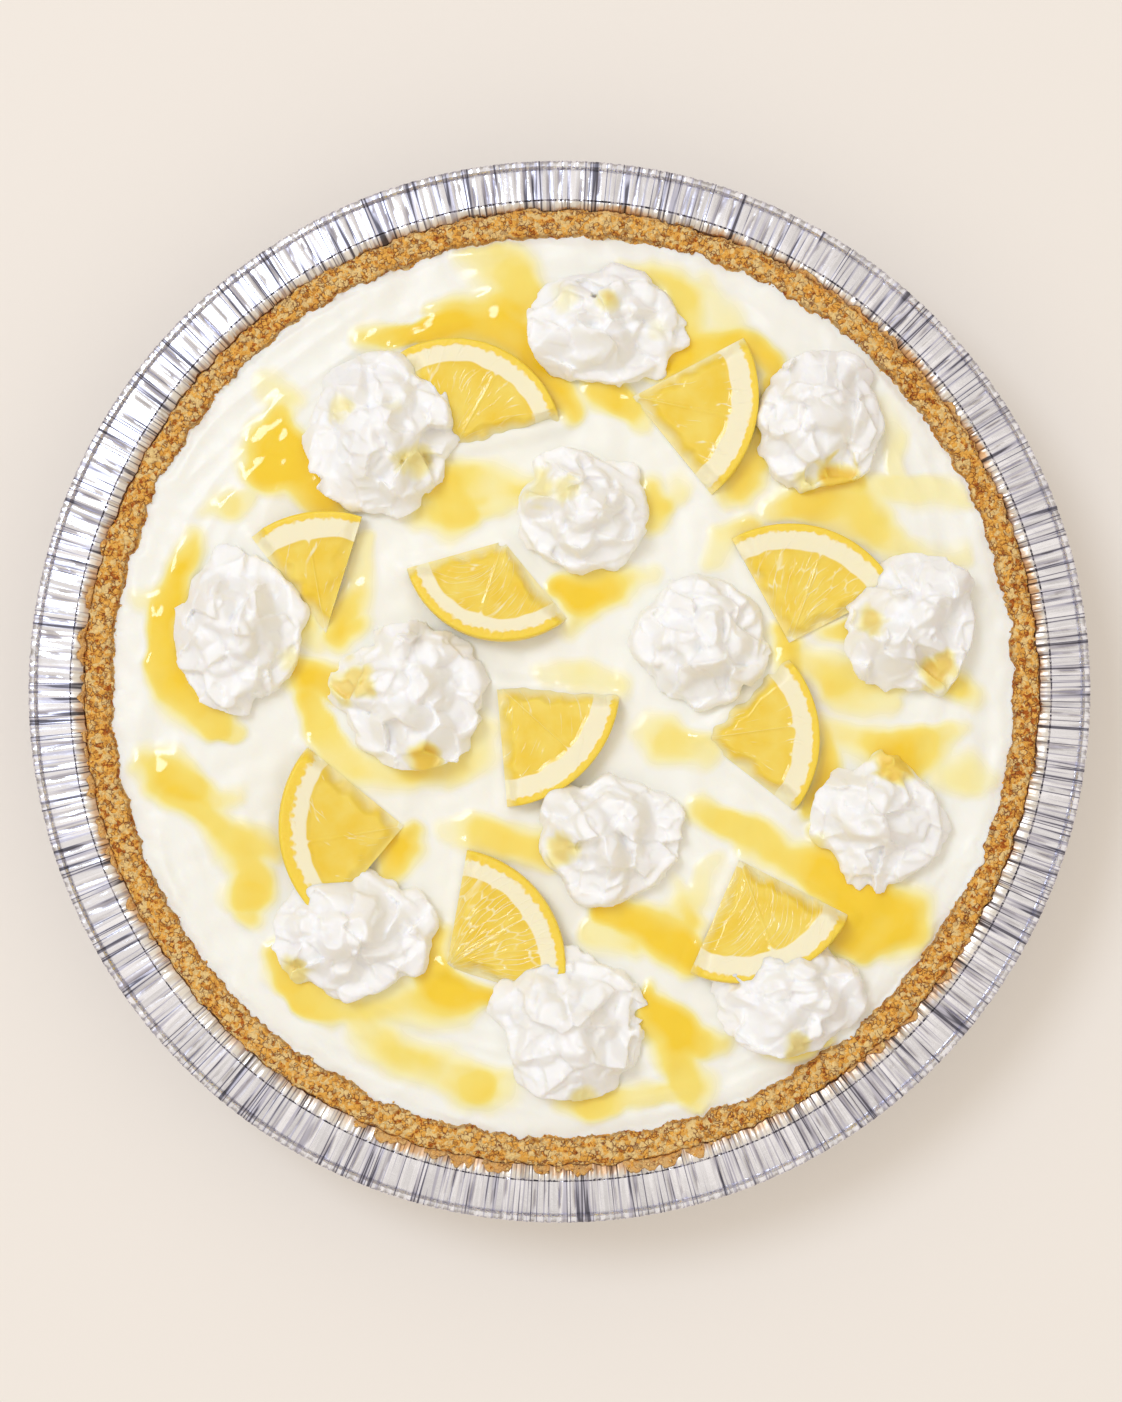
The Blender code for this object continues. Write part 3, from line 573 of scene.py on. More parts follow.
class PieDollopSettings(PropertyGroup):
    grain: length_of("Grain", "Size of the facets that the cream is made of", 0.36)
    ruffle: length_of("Ruffle", "Fine unevenness of the cream", 0.15)
    whipped: colour_of("Whipped cream", "Whipped cream", "#FEFDFB")


class PieLemonSettings(PropertyGroup):
    flesh: colour_of("Flesh", "Wet flesh", "#F0CC38")
    pale_flesh: colour_of("Pale flesh", "Cloudier flesh", "#F4DA66")
    # Pale sac walls, and painted glints on the wet flesh drawn in the same lines
    sac: colour_of("Sac walls", "Walls of the juice sacs", "#FCF3CC")
    pith: colour_of("Pith", "White of the rind and walls between segments", "#F6EDCB")
    rind: colour_of("Rind", "Yellow skin", "#F6D544")
    film: colour_of("Film", "Creamy juice over a sunken side", "#F8EEC4")


class PieStageSettings(PropertyGroup):
    floor: colour_of("Floor", "Plain floor", "#D5CFC8")
    floor_glow: colour_of("Floor glow", "Light that shows through the floor's paper", "#F0E6DB")
    key_power: FloatProperty(
        name="Key light", description="Power of the key light", default=29.5, min=0.0)
    key_colour: colour_of("Key colour", "Colour of the key light", "#D8E8FF")
    ambient: FloatProperty(
        name="Ambient", description="Strength of the soft light", default=0.91, min=0.0)


# --- foil pan ----------------------------------------------------------------------

FOIL_STEPS = 1800
FOIL_THICKNESS = 0.15
PANEL_PITCH = 1.1               # how wide the panels between two hair creases are
FLUTE_STEPS = FOIL_STEPS // 3   # the wall's pleats are three times as wide as the flange's
FLUTE_DEPTH = 0.45
FLANGE_MIDDLE = 109.0
FLANGE_END = 112.4
GUTTER_RADIUS = 105.6
CURL_MIDDLE = (113.45, 29.05)
CURL_RADIUS = 0.8
CURL_ANGLES = (150, 105, 60, 15, -40, -110)
FOIL_DRIFT = 0.4                # how far off centre the flange's pleats start, and which way
FOIL_DRIFT_HEADING = math.radians(40)
BUTTER_RADIUS = 103.2           # as far out as the foil is always browned
PANEL_STRETCH = 70.0            # how many times as long as wide a panel of foil is drawn
FOIL_SMOOTH_ANGLE = 40
FOIL_SEED, PLEAT_SEED, FLUTE_SEED = 29, 11, 23

# How much of its pleats each ring of the flange has, and how dark the painted shade is
# in each of the curl's crimped rings
FLANGE_HOLD = (0.4, 0.9, 1.0, 1.0, 1.0, 1.0, 0.85, 0.5)
CURL_CRIMPS = (0.95, 0.2, 0.15, 0.9, 0.6, 0.6)

# Steps from one pleat to the next; close pleats are thinner and shallower
PLEAT_GAPS = (2.4, 3.0, 3.8, 4.6, 5.6, 7.0, 9.0, 12.0)
CLOSE_GAP = 4.5


def foil_profile():
    """Radius, height and part of the pan of each ring, from the base to the curled edge."""
    curl = [math.radians(degrees) for degrees in CURL_ANGLES]
    parts = {
        "base": [(84.0, 0.0)],
        "wall": [(wall_radius(height), height) for height in (2.5, 12.0, 21.0)],
        "strip": [(101.7, 25.0), (102.6, 27.2), (102.9, 29.0), (103.1, 29.5), (103.7, 29.75),
                  (104.4, 29.9), (105.0, 30.0)],
        "gutter": [(105.35, 29.98), (105.55, 29.7)],
        "flange": [(105.8, 30.05), (106.6, 29.95), (107.7, 29.8), (108.8, 29.6), (109.9, 29.4),
                   (110.9, 29.2), (111.8, 29.05), (FLANGE_END, 28.9)],
        "curl": [(CURL_MIDDLE[0] + CURL_RADIUS * math.cos(angle),
                  CURL_MIDDLE[1] + CURL_RADIUS * math.sin(angle)) for angle in curl],
    }
    return [(*spot, part) for part, spots in parts.items() for spot in spots]


def pleat_field(steps, rows, seed):
    """Depth of the pleats, 0 to 1, at each step round the rim and each row across it."""
    draw = random.Random(seed)
    field = np.zeros((steps, rows))
    place = 0.0
    while place < steps:
        gap = draw.choice(PLEAT_GAPS)
        close = gap < CLOSE_GAP
        half = draw.uniform(0.6, 1.0) if close else draw.uniform(0.9, 1.8)
        depth = draw.uniform(0.15, 0.5) if close else draw.uniform(0.4, 1.0)
        taper = draw.uniform(-0.75, 0.75)
        slant = draw.uniform(-1.3, 1.3)
        for row, share in enumerate(np.linspace(0.0, 1.0, rows)):
            wide = half * (1.0 + taper * (2.0 * share - 1.0))
            deep = depth * (1.0 + 0.5 * taper * (2.0 * share - 1.0))
            middle = place + slant * (share - 0.5)
            for step in range(int(middle - wide) - 1, int(middle + wide) + 3):
                level = deep * (1.0 - abs(step - middle) / max(wide, 0.9))
                field[step % steps, row] = max(field[step % steps, row], level)
        place += gap
    return field


def make_foil_material(settings):
    """Rolled aluminium foil, bright side up: a mirror that fine creases break up, with painted
    shade in its pleats, hair creases and crimps.
    """
    material, add, shader = new_material("bright rolled aluminium foil", {"Metallic": 1.0})
    place = add("TexCoord", take="Object")
    pleats = add("Attribute", attribute_name="pleat_place", take="Vector")
    crease, crimped, greasy = (
        add("Attribute", attribute_name=name, take="Fac") for name in ("crease", "crimp", "butter"))

    # Panels about 1 mm wide with painted shade lines for the hair creases between them, which run
    # across the flange
    panels = {"Vector": pleats, "Scale": 1 / PANEL_PITCH}
    folds = add("TexVoronoi", panels, feature="DISTANCE_TO_EDGE")
    thin = add("MapRange", (folds, 0.04, 0.16, 1.0, 0.0))
    shorter = add("VectorMath", (pleats, (1.0, 1.0, 5.0)), operation="MULTIPLY")
    patchy = add("TexNoise", {"Vector": shorter, "Scale": 1 / 1.5, "Detail": 1.0})
    some = add("MapRange", (patchy, 0.37, 0.57, 0.15, 0.95))
    hairs = add("Math", (thin, some), operation="MULTIPLY")
    # Painted shade: dark dots and dashes where the foil is crimped, about 0.5 mm long
    beads = add("TexNoise", {"Vector": place, "Scale": 1 / (0.6 * MM), "Detail": 1.0})
    dots = add("MapRange", (beads, 0.5, 0.57, 0.0, 1.0))
    crimps = add("Math", (dots, crimped), operation="MULTIPLY")
    # Painted shade: the pleats and the hair lines darken the foil towards the crease colours
    soft = add("Math", (crease, 0.78), operation="MULTIPLY")
    creased = add("Math", (soft, hairs), operation="MAXIMUM")
    darkest = add("Math", (creased, crimps), operation="MAXIMUM")
    tone = add("ValToRGB", (darkest,), stops=(
        (0.0, settings.foil), (0.2, settings.foil), (0.5, settings.crease),
        (0.75, settings.crease), (1.0, settings.deep_crease)))
    # Painted shade: each panel is drawn a little darker or lighter, as if tilted to the light
    cell = add("SeparateColor", (add("TexVoronoi", panels, take="Color"),))
    shade = add("MapRange", (cell, 0.2, 0.9, 0.86, 1.0))
    shaded = add("VectorMath", {0: tone, "Scale": shade}, operation="SCALE")
    film = add("ValToRGB", (greasy,), stops=(
        (0.0, (1.0, 1.0, 1.0)), (0.5, settings.buttered), (1.0, settings.browned)))
    buttered = add(
        "Mix", {0: 1.0, 6: shaded, 7: film}, take=2, data_type="RGBA", blend_type="MULTIPLY")

    smear = add("TexNoise", {"Vector": place, "Scale": 1 / (3 * MM), "Detail": 3.0})
    rough = add("MapRange", (smear, 0.3, 0.7, 0.09, 0.18))
    # Creases scatter the light that the flat foil mirrors
    scattered = add("Math", (darkest, 0.5, rough), operation="MULTIPLY_ADD")
    dulled = add("Math", (greasy, 0.3, scattered), operation="MULTIPLY_ADD")
    crinkle = add("TexNoise", {
        "Vector": place, "Scale": 1 / (0.9 * MM), "Detail": 2.0, "Distortion": 0.6})
    relief = add("Math", (folds, 0.8, crinkle), operation="MULTIPLY_ADD")
    bump = add("Bump", {"Height": relief, "Strength": 0.3, "Distance": 0.12 * MM})
    fill(shader, {"Base Color": buttered, "Roughness": dulled, "Normal": bump})
    return material


def dashes(steps, on, off, draw):
    """Dashes of uneven length round the rim, 1 on a dash and 0 between."""
    marks = np.zeros(steps)
    step = 0
    while step < steps:
        long = draw.randint(*on)
        marks[step:step + long] = draw.uniform(0.7, 1.0)
        step += long + draw.randint(*off)
    return marks


def panel_heights(steps, draw):
    """Uneven heights round the rim, straight from knot to knot, so that each panel tilts."""
    places, heights = [0], [0.0]
    while places[-1] < steps - 8:
        places.append(places[-1] + draw.randint(3, 8))
        heights.append(draw.uniform(-0.16, 0.16))
    return np.interp(np.arange(steps), [*places, steps], [*heights, 0.0])


def make_foil_pan(settings):
    profile = foil_profile()
    spots = [spot[:2] for spot in profile]
    parts = [part for _, _, part in profile]
    pan = turn_profile("foil_pan_pleated", spots, FOIL_STEPS)
    close_ring(pan, *spots[0])
    points = coordinates(pan)
    rings = ring_numbers(points, spots)
    angles = angle_of(points)
    reach = radius_of(points)
    steps = np.round(angles / math.tau * FOIL_STEPS).astype(int) % FOIL_STEPS

    draw = random.Random(FOIL_SEED)
    pleats = pleat_field(FOIL_STEPS, len(FLANGE_HOLD), PLEAT_SEED)
    flutes = pleat_field(FLUTE_STEPS, 4, FLUTE_SEED)
    lines, outer_lines = (
        np.array([draw.gauss(0.0, 1.0) for _ in range(FOIL_STEPS)]) for _ in range(2))
    knots = panel_heights(FOIL_STEPS, draw)
    outer_knots = 0.5 * knots + 0.5 * panel_heights(FOIL_STEPS, draw)
    curl_inside = dashes(FOIL_STEPS, (1, 4), (1, 3), draw)
    curl_outside = dashes(FOIL_STEPS, (1, 3), (1, 3), draw)

    # The crust was pressed in off centre, and pushes the top of the wall with it
    around = np.arange(FOIL_STEPS) / FOIL_STEPS * math.tau
    push = crust_edge(around) - CRUST_OUTER_RADIUS
    browned = np.clip(
        0.45 + 0.4 * ring_noise(around, 9.0, 14.0) + 0.6 * lap_level(around), 0.0, 1.0)
    browned_to = BUTTER_RADIUS + 1.5 * browned + 0.35 * lines
    deepest = settings.pleat_depth / MM
    # Painted shade is set here for the pleats and flutes, and for the crimped gutter and curl
    crease, butter, crimp, down, out = np.zeros((5, len(points)))
    for number, (radius, _, part) in enumerate(profile):
        at = (rings == number) & (reach >= ON_AXIS)
        step = steps[at]
        row = number - parts.index(part)
        if part == "wall":
            flute = flutes[(step // 3) % FLUTE_STEPS, row + 1]
            share = (row + 1) / 3
            out[at] = -FLUTE_DEPTH * share * flute
            crease[at] = 0.3 * flute * share
        elif part == "strip":
            if radius > CRUST_OUTER_RADIUS:
                out[at] = push[step] * np.clip((GUTTER_RADIUS - radius) / 2.2, 0.0, 1.0)
                beside = smoothstep(browned_to[step] - radius, -0.4, 0.4)
                butter[at] = 0.5 + 0.5 * browned[step] * beside
            down[at] = 0.07 * lines[step] + 0.2 * pleats[step, 0]
            crease[at] = 0.28 * pleats[step, 0] + 0.06 * np.abs(lines[step])
        elif part == "gutter":
            down[at] = 0.2 * pleats[step, 0] + 0.06 * lines[step]
            crimp[at] = 1.0
            butter[at] = 0.25
        elif part == "flange":
            hold = FLANGE_HOLD[row]
            share = row / (len(FLANGE_HOLD) - 1)
            fine = lines[step] * (1.0 - share) + outer_lines[step] * share
            tilted = knots[step] * (1.0 - share) + outer_knots[step] * share
            down[at] = hold * (deepest * pleats[step, row] + tilted) + 0.022 * fine
            crease[at] = pleats[step, row] * (0.55 + 0.45 * hold) + 0.05 * np.abs(fine)
        elif part == "curl":
            pinch = (curl_inside if row < 2 else curl_outside)[step]
            out[at] = -0.10 * pinch * (row > 0)
            down[at] = 0.12 * pinch * (row < 3)
            crimp[at] = CURL_CRIMPS[row]
    drift = FOIL_DRIFT * np.cos(angles - FOIL_DRIFT_HEADING)
    drift *= np.clip((FLANGE_END - reach) / 6.0, 0, 1)
    drift *= smoothstep(reach, BUTTER_RADIUS, 106.0)
    points[:, 0] += (out + drift) * np.cos(angles)
    points[:, 1] += (out + drift) * np.sin(angles)
    points[:, 2] -= down
    set_coordinates(pan, points)
    # Read round a cylinder and far longer outward, so that it is drawn radially
    drawn_out = polar(FLANGE_MIDDLE, angles, radius_of(points) / PANEL_STRETCH)
    give_attributes(
        pan, crease=np.clip(crease, 0.0, 1.0), butter=butter, crimp=crimp, pleat_place=drawn_out)
    outward_normals(pan)
    if vertex_normals(pan)[np.argmin(radius_of(coordinates(pan)))][2] > 0.0:
        with editing(pan):
            bpy.ops.mesh.flip_normals()
    apply_modifier(pan, "SOLIDIFY", thickness=FOIL_THICKNESS * MM, offset=-1.0, use_rim=True)
    shade_smooth(pan, FOIL_SMOOTH_ANGLE)
    finish_piece(pan, make_foil_material(settings), "foil_pan")


# --- crumb crust --------------------------------------------------------------------

CRUST_STEPS = 1800

# Each ring of the crust, from its inner foot over the top and down its outside: radius,
# height and how much crumb relief it has, then where it goes when it laps over the flange
CRUST_RINGS = (
    (79.3, 5.0, 0.0), (88.0, 17.1, 0.0), (94.9, 26.7, 0.0), (96.3, 28.5, 0.3),
    (96.75, 29.1, 0.6), (97.1, 29.6, 0.8), (97.32, 30.05, 1.0), (97.55, 30.38, 1.0),
    (97.85, 30.55, 1.0), (98.2, 30.6, 1.0), (98.55, 30.62, 1.0), (98.9, 30.64, 1.0),
    (99.25, 30.65, 1.0), (99.6, 30.65, 1.0), (99.95, 30.65, 1.0), (100.3, 30.64, 1.0),
    (100.65, 30.62, 1.0), (101.0, 30.6, 1.0), (101.35, 30.56, 1.0), (101.7, 30.48, 1.0),
    (102.05, 30.36, 1.0),
    (102.35, 30.15, 1.0, 102.35, 30.18), (102.58, 29.8, 0.9, 102.58, 29.9),
    (102.72, 29.35, 0.7, 102.72, 29.55), (102.8, 28.9, 0.5, 102.82, 29.35),
    (102.82, 28.5, 0.5, 102.95, 29.6), (102.8, 28.1, 0.7, 103.15, 29.85),
    (102.75, 27.7, 1.0, 103.5, 30.05), (102.65, 27.3, 1.0, 104.0, 30.2),
    (102.5, 26.9, 1.0, 104.6, 30.3), (102.3, 26.5, 0.9, 105.2, 30.35),
    (102.1, 26.1, 0.5, 105.6, 30.25), (101.8, 25.6, 0.0, 105.3, 30.05),
    (101.3, 24.9, 0.0, 102.3, 27.6),
    (94.0, 13.9, 0.0), (85.6, 2.8, 0.0), (83.4, 0.7, 0.0),
)
GROOVE_RING = 24                # in the groove between the crust's top and its lap
EDGE_RING = 5.6                 # at the crust's inner edge
SIDE_HEIGHT = 26.0              # above this the crust shows

CRUMB_SEED = 61
CRUMB_SIZES = (0.45, 0.55, 0.6, 0.7, 0.8, 0.95, 1.2)
CRUMB_TONES = (0.0, 0.0, 0.05, 0.3, 0.5)
CRUMB_DROP_HEIGHT = 40.0        # crumbs are dropped on the crust from here

# Where the crust laps over the flange: middle, half width in degrees, and how far
LAPS = (
    (47, 30, 0.42),
    (95, 20, 0.22),
    (268, 26, 0.4),
    (185, 30, 0.26),
    (318, 14, 0.24),
)


def make_crust_material(settings):
    """Pressed biscuit crumb with butter: dry, sandy, gold with toasted and pale grains.

    Real grains are about 0.3 mm. They are drawn at about 1 mm, so that they show.
    """
    material, add, shader = new_material("golden biscuit crumb", {"Roughness": 0.82})
    place = add("TexCoord", take="Object")
    baked, crack, lapped = (
        add("Attribute", attribute_name=name, take="Fac") for name in ("paler", "crack", "lap"))

    # Flakes of about 1 mm, each its own tone, with painted shade in the cracks between some of them
    swirls = add(
        "TexNoise", {"Vector": place, "Scale": 1 / (1.3 * MM), "Detail": 3.0}, take="Color")
    stirred = add("VectorMath", (swirls, (1.5 * MM,) * 3, place), operation="MULTIPLY_ADD")
    flakes = {"Vector": stirred, "Scale": 1 / (1.0 * MM)}
    speck = add("SeparateColor", (add("TexVoronoi", flakes, take="Color"),))
    between = add("TexVoronoi", flakes, feature="DISTANCE_TO_EDGE")
    lumps = add("TexNoise", {
        "Vector": place, "Scale": 1 / (1.2 * MM), "Detail": 6.0, "Roughness": 0.75})
    # Painted light: the near and far sides of the crust are drawn paler
    lumpy = add("Math", (baked, 0.06, lumps), operation="MULTIPLY_ADD")
    mixed = add("Math", (speck, 0.4, lumpy), operation="MULTIPLY_ADD")
    tone = add("ValToRGB", (mixed,), stops=(
        (0.5, settings.toasted), (0.59, settings.crumb), (0.7, settings.crumb),
        (0.81, settings.pale)))
    gaps = add("MapRange", (between, 0.0, 0.16, 1.0, 0.0))
    patches = add("TexNoise", {"Vector": place, "Scale": 1 / (1.8 * MM), "Detail": 1.0})
    open_here = add("MapRange", (patches, 0.43, 0.55, 0.0, 1.0))
    opened = add("Math", (gaps, open_here), operation="MULTIPLY")
    pit = add("Math", (opened, crack), operation="MAXIMUM")
    shaded = add("Mix", {0: pit, 6: tone, 7: settings.crack}, take=2, data_type="RGBA")
    colour = add("Mix", {0: lapped, 6: shaded, 7: settings.lap}, take=2, data_type="RGBA")
    fine = add("TexNoise", {
        "Vector": place, "Scale": 1 / (0.8 * MM), "Detail": 4.0, "Roughness": 0.7})
    height = add("Math", (between, 1.2, fine), operation="MULTIPLY_ADD")
    bump = add("Bump", {"Height": height, "Strength": 0.75, "Distance": 0.75 * MM})
    fill(shader, {"Base Color": colour, "Normal": bump})
    return material


def lap_level(angles):
    """How far the crust laps over the flange in general, 0 to 1."""
    lap = np.zeros(len(angles))
    for middle, half, strength in LAPS:
        away = np.degrees(np.abs((angles - math.radians(middle) + math.pi) % math.tau - math.pi))
        lap = np.maximum(lap, strength * smoothstep(half - away, 0.0, 8.0))
    return lap


def lap_at(angles):
    """How far the crust laps over the flange, 0 to 1, in ragged lobes."""
    around = polar(104.0, angles)
    lobes = noise_at(around, 3.6, 31) + 0.6 * noise_at(around, 1.4, 32)
    return np.clip(lap_level(angles) * (1.0 + 0.8 * lobes) + 0.1 * lobes, 0.0, 0.8)


def make_crust(settings):
    profile = [ring[:2] for ring in CRUST_RINGS]
    crust = turn_profile("crumb_crust_ring", profile, CRUST_STEPS)
    close_ring(crust, *profile[0])
    close_ring(crust, *profile[-1])
    points = coordinates(crust)
    rings = ring_numbers(points, profile)
    angles = angle_of(points)
    on_axis = radius_of(points) < ON_AXIS

    table = np.array([ring if len(ring) == 5 else (*ring, *ring[:2]) for ring in CRUST_RINGS])
    plain_radius, plain_height, crumbly, lap_radius, lap_height = table[rings].T
    lap = lap_at(angles)
    radius = plain_radius + (lap_radius - plain_radius) * lap
    height = plain_height + (lap_height - plain_height) * np.minimum(lap / 0.2, 1.0)
    inner_shift = cream_line(angles) - CRUST_INNER_RADIUS
    outer_shift = crust_edge(angles) - CRUST_OUTER_RADIUS
    width = CRUST_OUTER_RADIUS - CRUST_INNER_RADIUS
    across = np.clip((radius - CRUST_INNER_RADIUS) / width, 0.0, 1.0)
    shift = inner_shift * (1.0 - across) + outer_shift * across
    rough = crumbly > 0.0
    beside_wall = np.clip((plain_height - SIDE_HEIGHT) / 2.0, 0.0, 1.0) * rough
    past_edge = np.clip((GUTTER_RADIUS - radius) / 2.0, 0.0, 1.0)
    radius += shift * beside_wall * past_edge

    relief, crack = np.zeros((2, len(points)))
    spots = polar(radius, angles, height)[rough]
    coarse, fine = (
        np.clip(1.6 * cell_gaps(spots, pitch, seed), 0.0, 1.0)
        for pitch, seed in ((2.0, 41), (0.95, 42)))
    relief[rough] = (0.55 * coarse + 0.45 * fine - 0.35) + 0.55 * noise_at(spots, 6.0, 43)
    crack[rough] = (np.clip(0.55 - coarse * 1.3, 0.0, 1.0) * 0.5
                    + np.clip(0.4 - fine, 0.0, 1.0) * 0.5)
    relief *= crumbly * settings.crumb_relief / MM

    tangents = np.gradient(np.array(profile), axis=0)
    tangents /= np.hypot(tangents[:, 0], tangents[:, 1])[:, None]
    out, up = -tangents[rings, 1], tangents[rings, 0]
    moved = polar(radius + relief * out, angles, height + relief * up)
    moved[on_axis] = points[on_axis]
    set_coordinates(crust, moved)

    # Painted shade: the groove between the ring and the lip, the ring's inner edge and the cracks
    # between crumbs are darkened
    numbers = rings.astype(float)
    groove = np.exp(-((numbers - GROOVE_RING) / 1.1) ** 2)
    edge = np.exp(-((numbers - EDGE_RING) / 1.2) ** 2)
    shade = np.clip(0.55 * crack + 0.85 * groove + 0.5 * edge, 0.0, 0.9)
    lapped = 0.65 * smoothstep(numbers, GROOVE_RING + 0.5, GROOVE_RING + 3.0)
    # Painted light makes the crust paler towards its near and far sides
    give_attributes(
        crust, crack=np.where(rough, shade, 0.0), lap=lapped, paler=np.sin(angles) ** 2)
    outward_normals(crust)
    shade_smooth(crust)
    material = make_crust_material(settings)
    finish_piece(crust, material, "crust")
    return crust, material


def crumb_seed():
    """One crumb: a ball of twenty faces, flattened and dented."""
    start_clean()
    bpy.ops.mesh.primitive_ico_sphere_add(subdivisions=1, radius=0.5 * MM)
    seed = take_new("crumb_seed")
    with editing(seed):
        bpy.ops.transform.resize(value=(1.0, 0.8, 0.65))
    points = coordinates(seed)
    points *= 1.0 + 0.22 * noise_at(points * 3.0, 1.0, 51)[:, None]
    set_coordinates(seed, points)
    return seed


def crumb_radius(angle, draw):
    """A crumb lies along the inner edge, in the groove or anywhere on the crust's top."""
    where = draw.random()
    if where < 0.18:
        radius = CRUST_INNER_RADIUS + draw.gauss(0.2, 0.5)
    elif where < 0.4:
        radius = 103.1 + draw.gauss(0.0, 0.45)
    else:
        radius = draw.uniform(97.6, CRUST_OUTER_RADIUS)
    inward = max(0.0, (CRUST_OUTER_RADIUS - radius) / 5.5)
    return radius + 1.3 * math.cos(angle - OFF_CENTRE) * inward


def make_crumbs(crust, material, settings):
    """Loose crumbs, one shape copied over the crust's top and into its groove."""
    seed = crumb_seed()
    master = coordinates(seed)
    faces = np.array([face.vertices[:] for face in seed.data.polygons])
    draw = random.Random(CRUMB_SEED)
    places = []
    while len(places) < settings.crumbs:
        angle = draw.uniform(0.0, math.tau)
        radius = crumb_radius(angle, draw)
        start = Vector((radius * math.cos(angle), radius * math.sin(angle), CRUMB_DROP_HEIGHT)) * MM
        hit, spot, _, _ = crust.ray_cast(start, Vector((0.0, 0.0, -1.0)))
        if hit and spot.z > SIDE_HEIGHT * MM:
            places.append((spot / MM, draw.choice(CRUMB_SIZES)))
    points = np.empty((len(places), len(master), 3))
    for index, (spot, size) in enumerate(places):
        turned = (Matrix.Rotation(draw.uniform(0, math.tau), 3, "Z")
                  @ Matrix.Rotation(draw.uniform(-0.7, 0.7), 3, "X"))
        points[index] = (
            master @ np.array(turned).T * size + np.array(spot) + (0.0, 0.0, 0.12 * size))
    offsets = np.arange(len(places))[:, None, None] * len(master)
    mesh = bpy.data.meshes.new("loose_crumbs")
    mesh.from_pydata(
        (points.reshape(-1, 3) * MM).tolist(), [], (faces[None] + offsets).reshape(-1, 3).tolist())
    # The loose crumbs' own random tones go into the attribute that holds the crust's painted shade
    tones = np.repeat([draw.choice(CRUMB_TONES) for _ in places], len(master))
    crumbs = bpy.data.objects.new("loose_crumbs", mesh)
    bpy.context.scene.collection.objects.link(crumbs)
    give_attributes(
        crumbs, crack=tones, lap=np.zeros(len(tones)), paler=np.full(len(tones), 0.5))
    bpy.data.objects.remove(seed)
    outward_normals(crumbs)
    finish_piece(crumbs, material, "crust")


# --- lemon cream with its sauce --------------------------------------------------------

CREAM_CELLS = 300
CREAM_BANK = 1.1
CREAM_DISC_RADIUS = 97.6
# The cream's edge goes down and in, then to its underside: ratio of radius, and drop
CREAM_SIDES = ((0.985, 1.2), (CREAM_BASE[0] / 96.1, 23.1))
CREAM_WAIST = 15.0              # what lies lower is the underside
CREAM_SMOOTH_ANGLE = 60


def sauce_at(spots, strokes):
    """How thick the sauce lies at each spot, 0 to 1: soft-edged strokes that run together."""
    total = np.zeros(len(spots))
    softness = 1.0 + 0.45 * noise_at(stack(*spots.T), 14.0, 77)
    for stroke in strokes:
        best = np.zeros(len(spots))
        for (x0, y0, w0, s0), (x1, y1, w1, s1) in zip(stroke, stroke[1:]):
            along = np.array((x1 - x0, y1 - y0))
            x, y = spots[:, 0] - x0, spots[:, 1] - y0
            share = np.clip((x * along[0] + y * along[1]) / (along @ along), 0.0, 1.0)
            away = np.hypot(x - share * along[0], y - share * along[1])
            width = w0 + share * (w1 - w0)
            thick = s0 + share * (s1 - s0)
            soft = (0.43 * width + 1.0) * softness
            best = np.maximum(best, thick * smoothstep((width - away) / soft, -1.0, 1.0))
        total += best ** 4
    return np.minimum(total ** 0.25, 1.0)


def wavered(points):
    """The spots that the sauce is read at: shifted, so that its outlines waver."""
    flat = points * (1.0, 1.0, 0.0)
    shift = np.column_stack([
        1.1 * noise_at(flat, 9.0, seed) + 0.3 * noise_at(flat, 3.4, seed + 1) for seed in (71, 75)
    ])
    return points[:, :2] + shift


def bank_at(points):
    """How far the cream has closed up round the sunken sides of the lemon slices."""
    bank = np.zeros(len(points))
    for (x, y, radius, first, last, _), (first_sunk, last_sunk, _) in zip(SLICES, SLICE_SINKS):
        aside, ahead = points[:, 0] - x, points[:, 1] - y
        for degrees, sunk in ((first, first_sunk), (last, last_sunk)):
            cos, sin = math.cos(math.radians(degrees)), math.sin(math.radians(degrees))
            along = np.clip(aside * cos + ahead * sin, 0.0, radius)
            away = np.hypot(aside - along * cos, ahead - along * sin)
            bank = np.maximum(bank, sunk * (1.0 - smoothstep(away, 0.3, 3.6)))
    return CREAM_BANK * bank


def make_cream_material(settings):
    """Set lemon cream, soft and matt, under a clear wet lemon sauce that levels itself."""
    material, add, shader = new_material("lemon cream with lemon sauce", {
        "Subsurface Weight": 0.25, "Subsurface Scale": 1.5 * MM,
        "Subsurface Radius": (1.0, 0.8, 0.5)})
    place = add("TexCoord", take="Object")
    sauce = add("Attribute", attribute_name="sauce", take="Fac")
    cloud = add("TexNoise", {"Vector": place, "Scale": 1 / (5 * MM), "Detail": 3.0})
    cloudy = add("Math", (cloud, 0.22, -0.11), operation="MULTIPLY_ADD")
    sway = add("Math", (cloudy, sauce), operation="MULTIPLY")
    swayed = add("Math", (sauce, sway), operation="ADD")
    tone = add("ValToRGB", (swayed,), stops=(
        (0.0, settings.cream), (0.04, settings.cream), (0.38, settings.thin_sauce),
        (0.6, settings.middling_sauce), (1.0, settings.sauce)))
    rough = add("MapRange", (sauce, 0.08, 0.4, 0.42, 0.07))
    pores = add("TexNoise", {"Vector": place, "Scale": 1 / (1.2 * MM), "Detail": 2.0})
    matt = add("MapRange", (sauce, 0.05, 0.3, 1.0, 0.0))
    grain = add("Math", (pores, matt), operation="MULTIPLY")
    bump = add("Bump", {"Height": grain, "Strength": 0.25, "Distance": 0.12 * MM})
    fill(shader, {"Base Color": tone, "Roughness": rough, "Normal": bump})
    return material


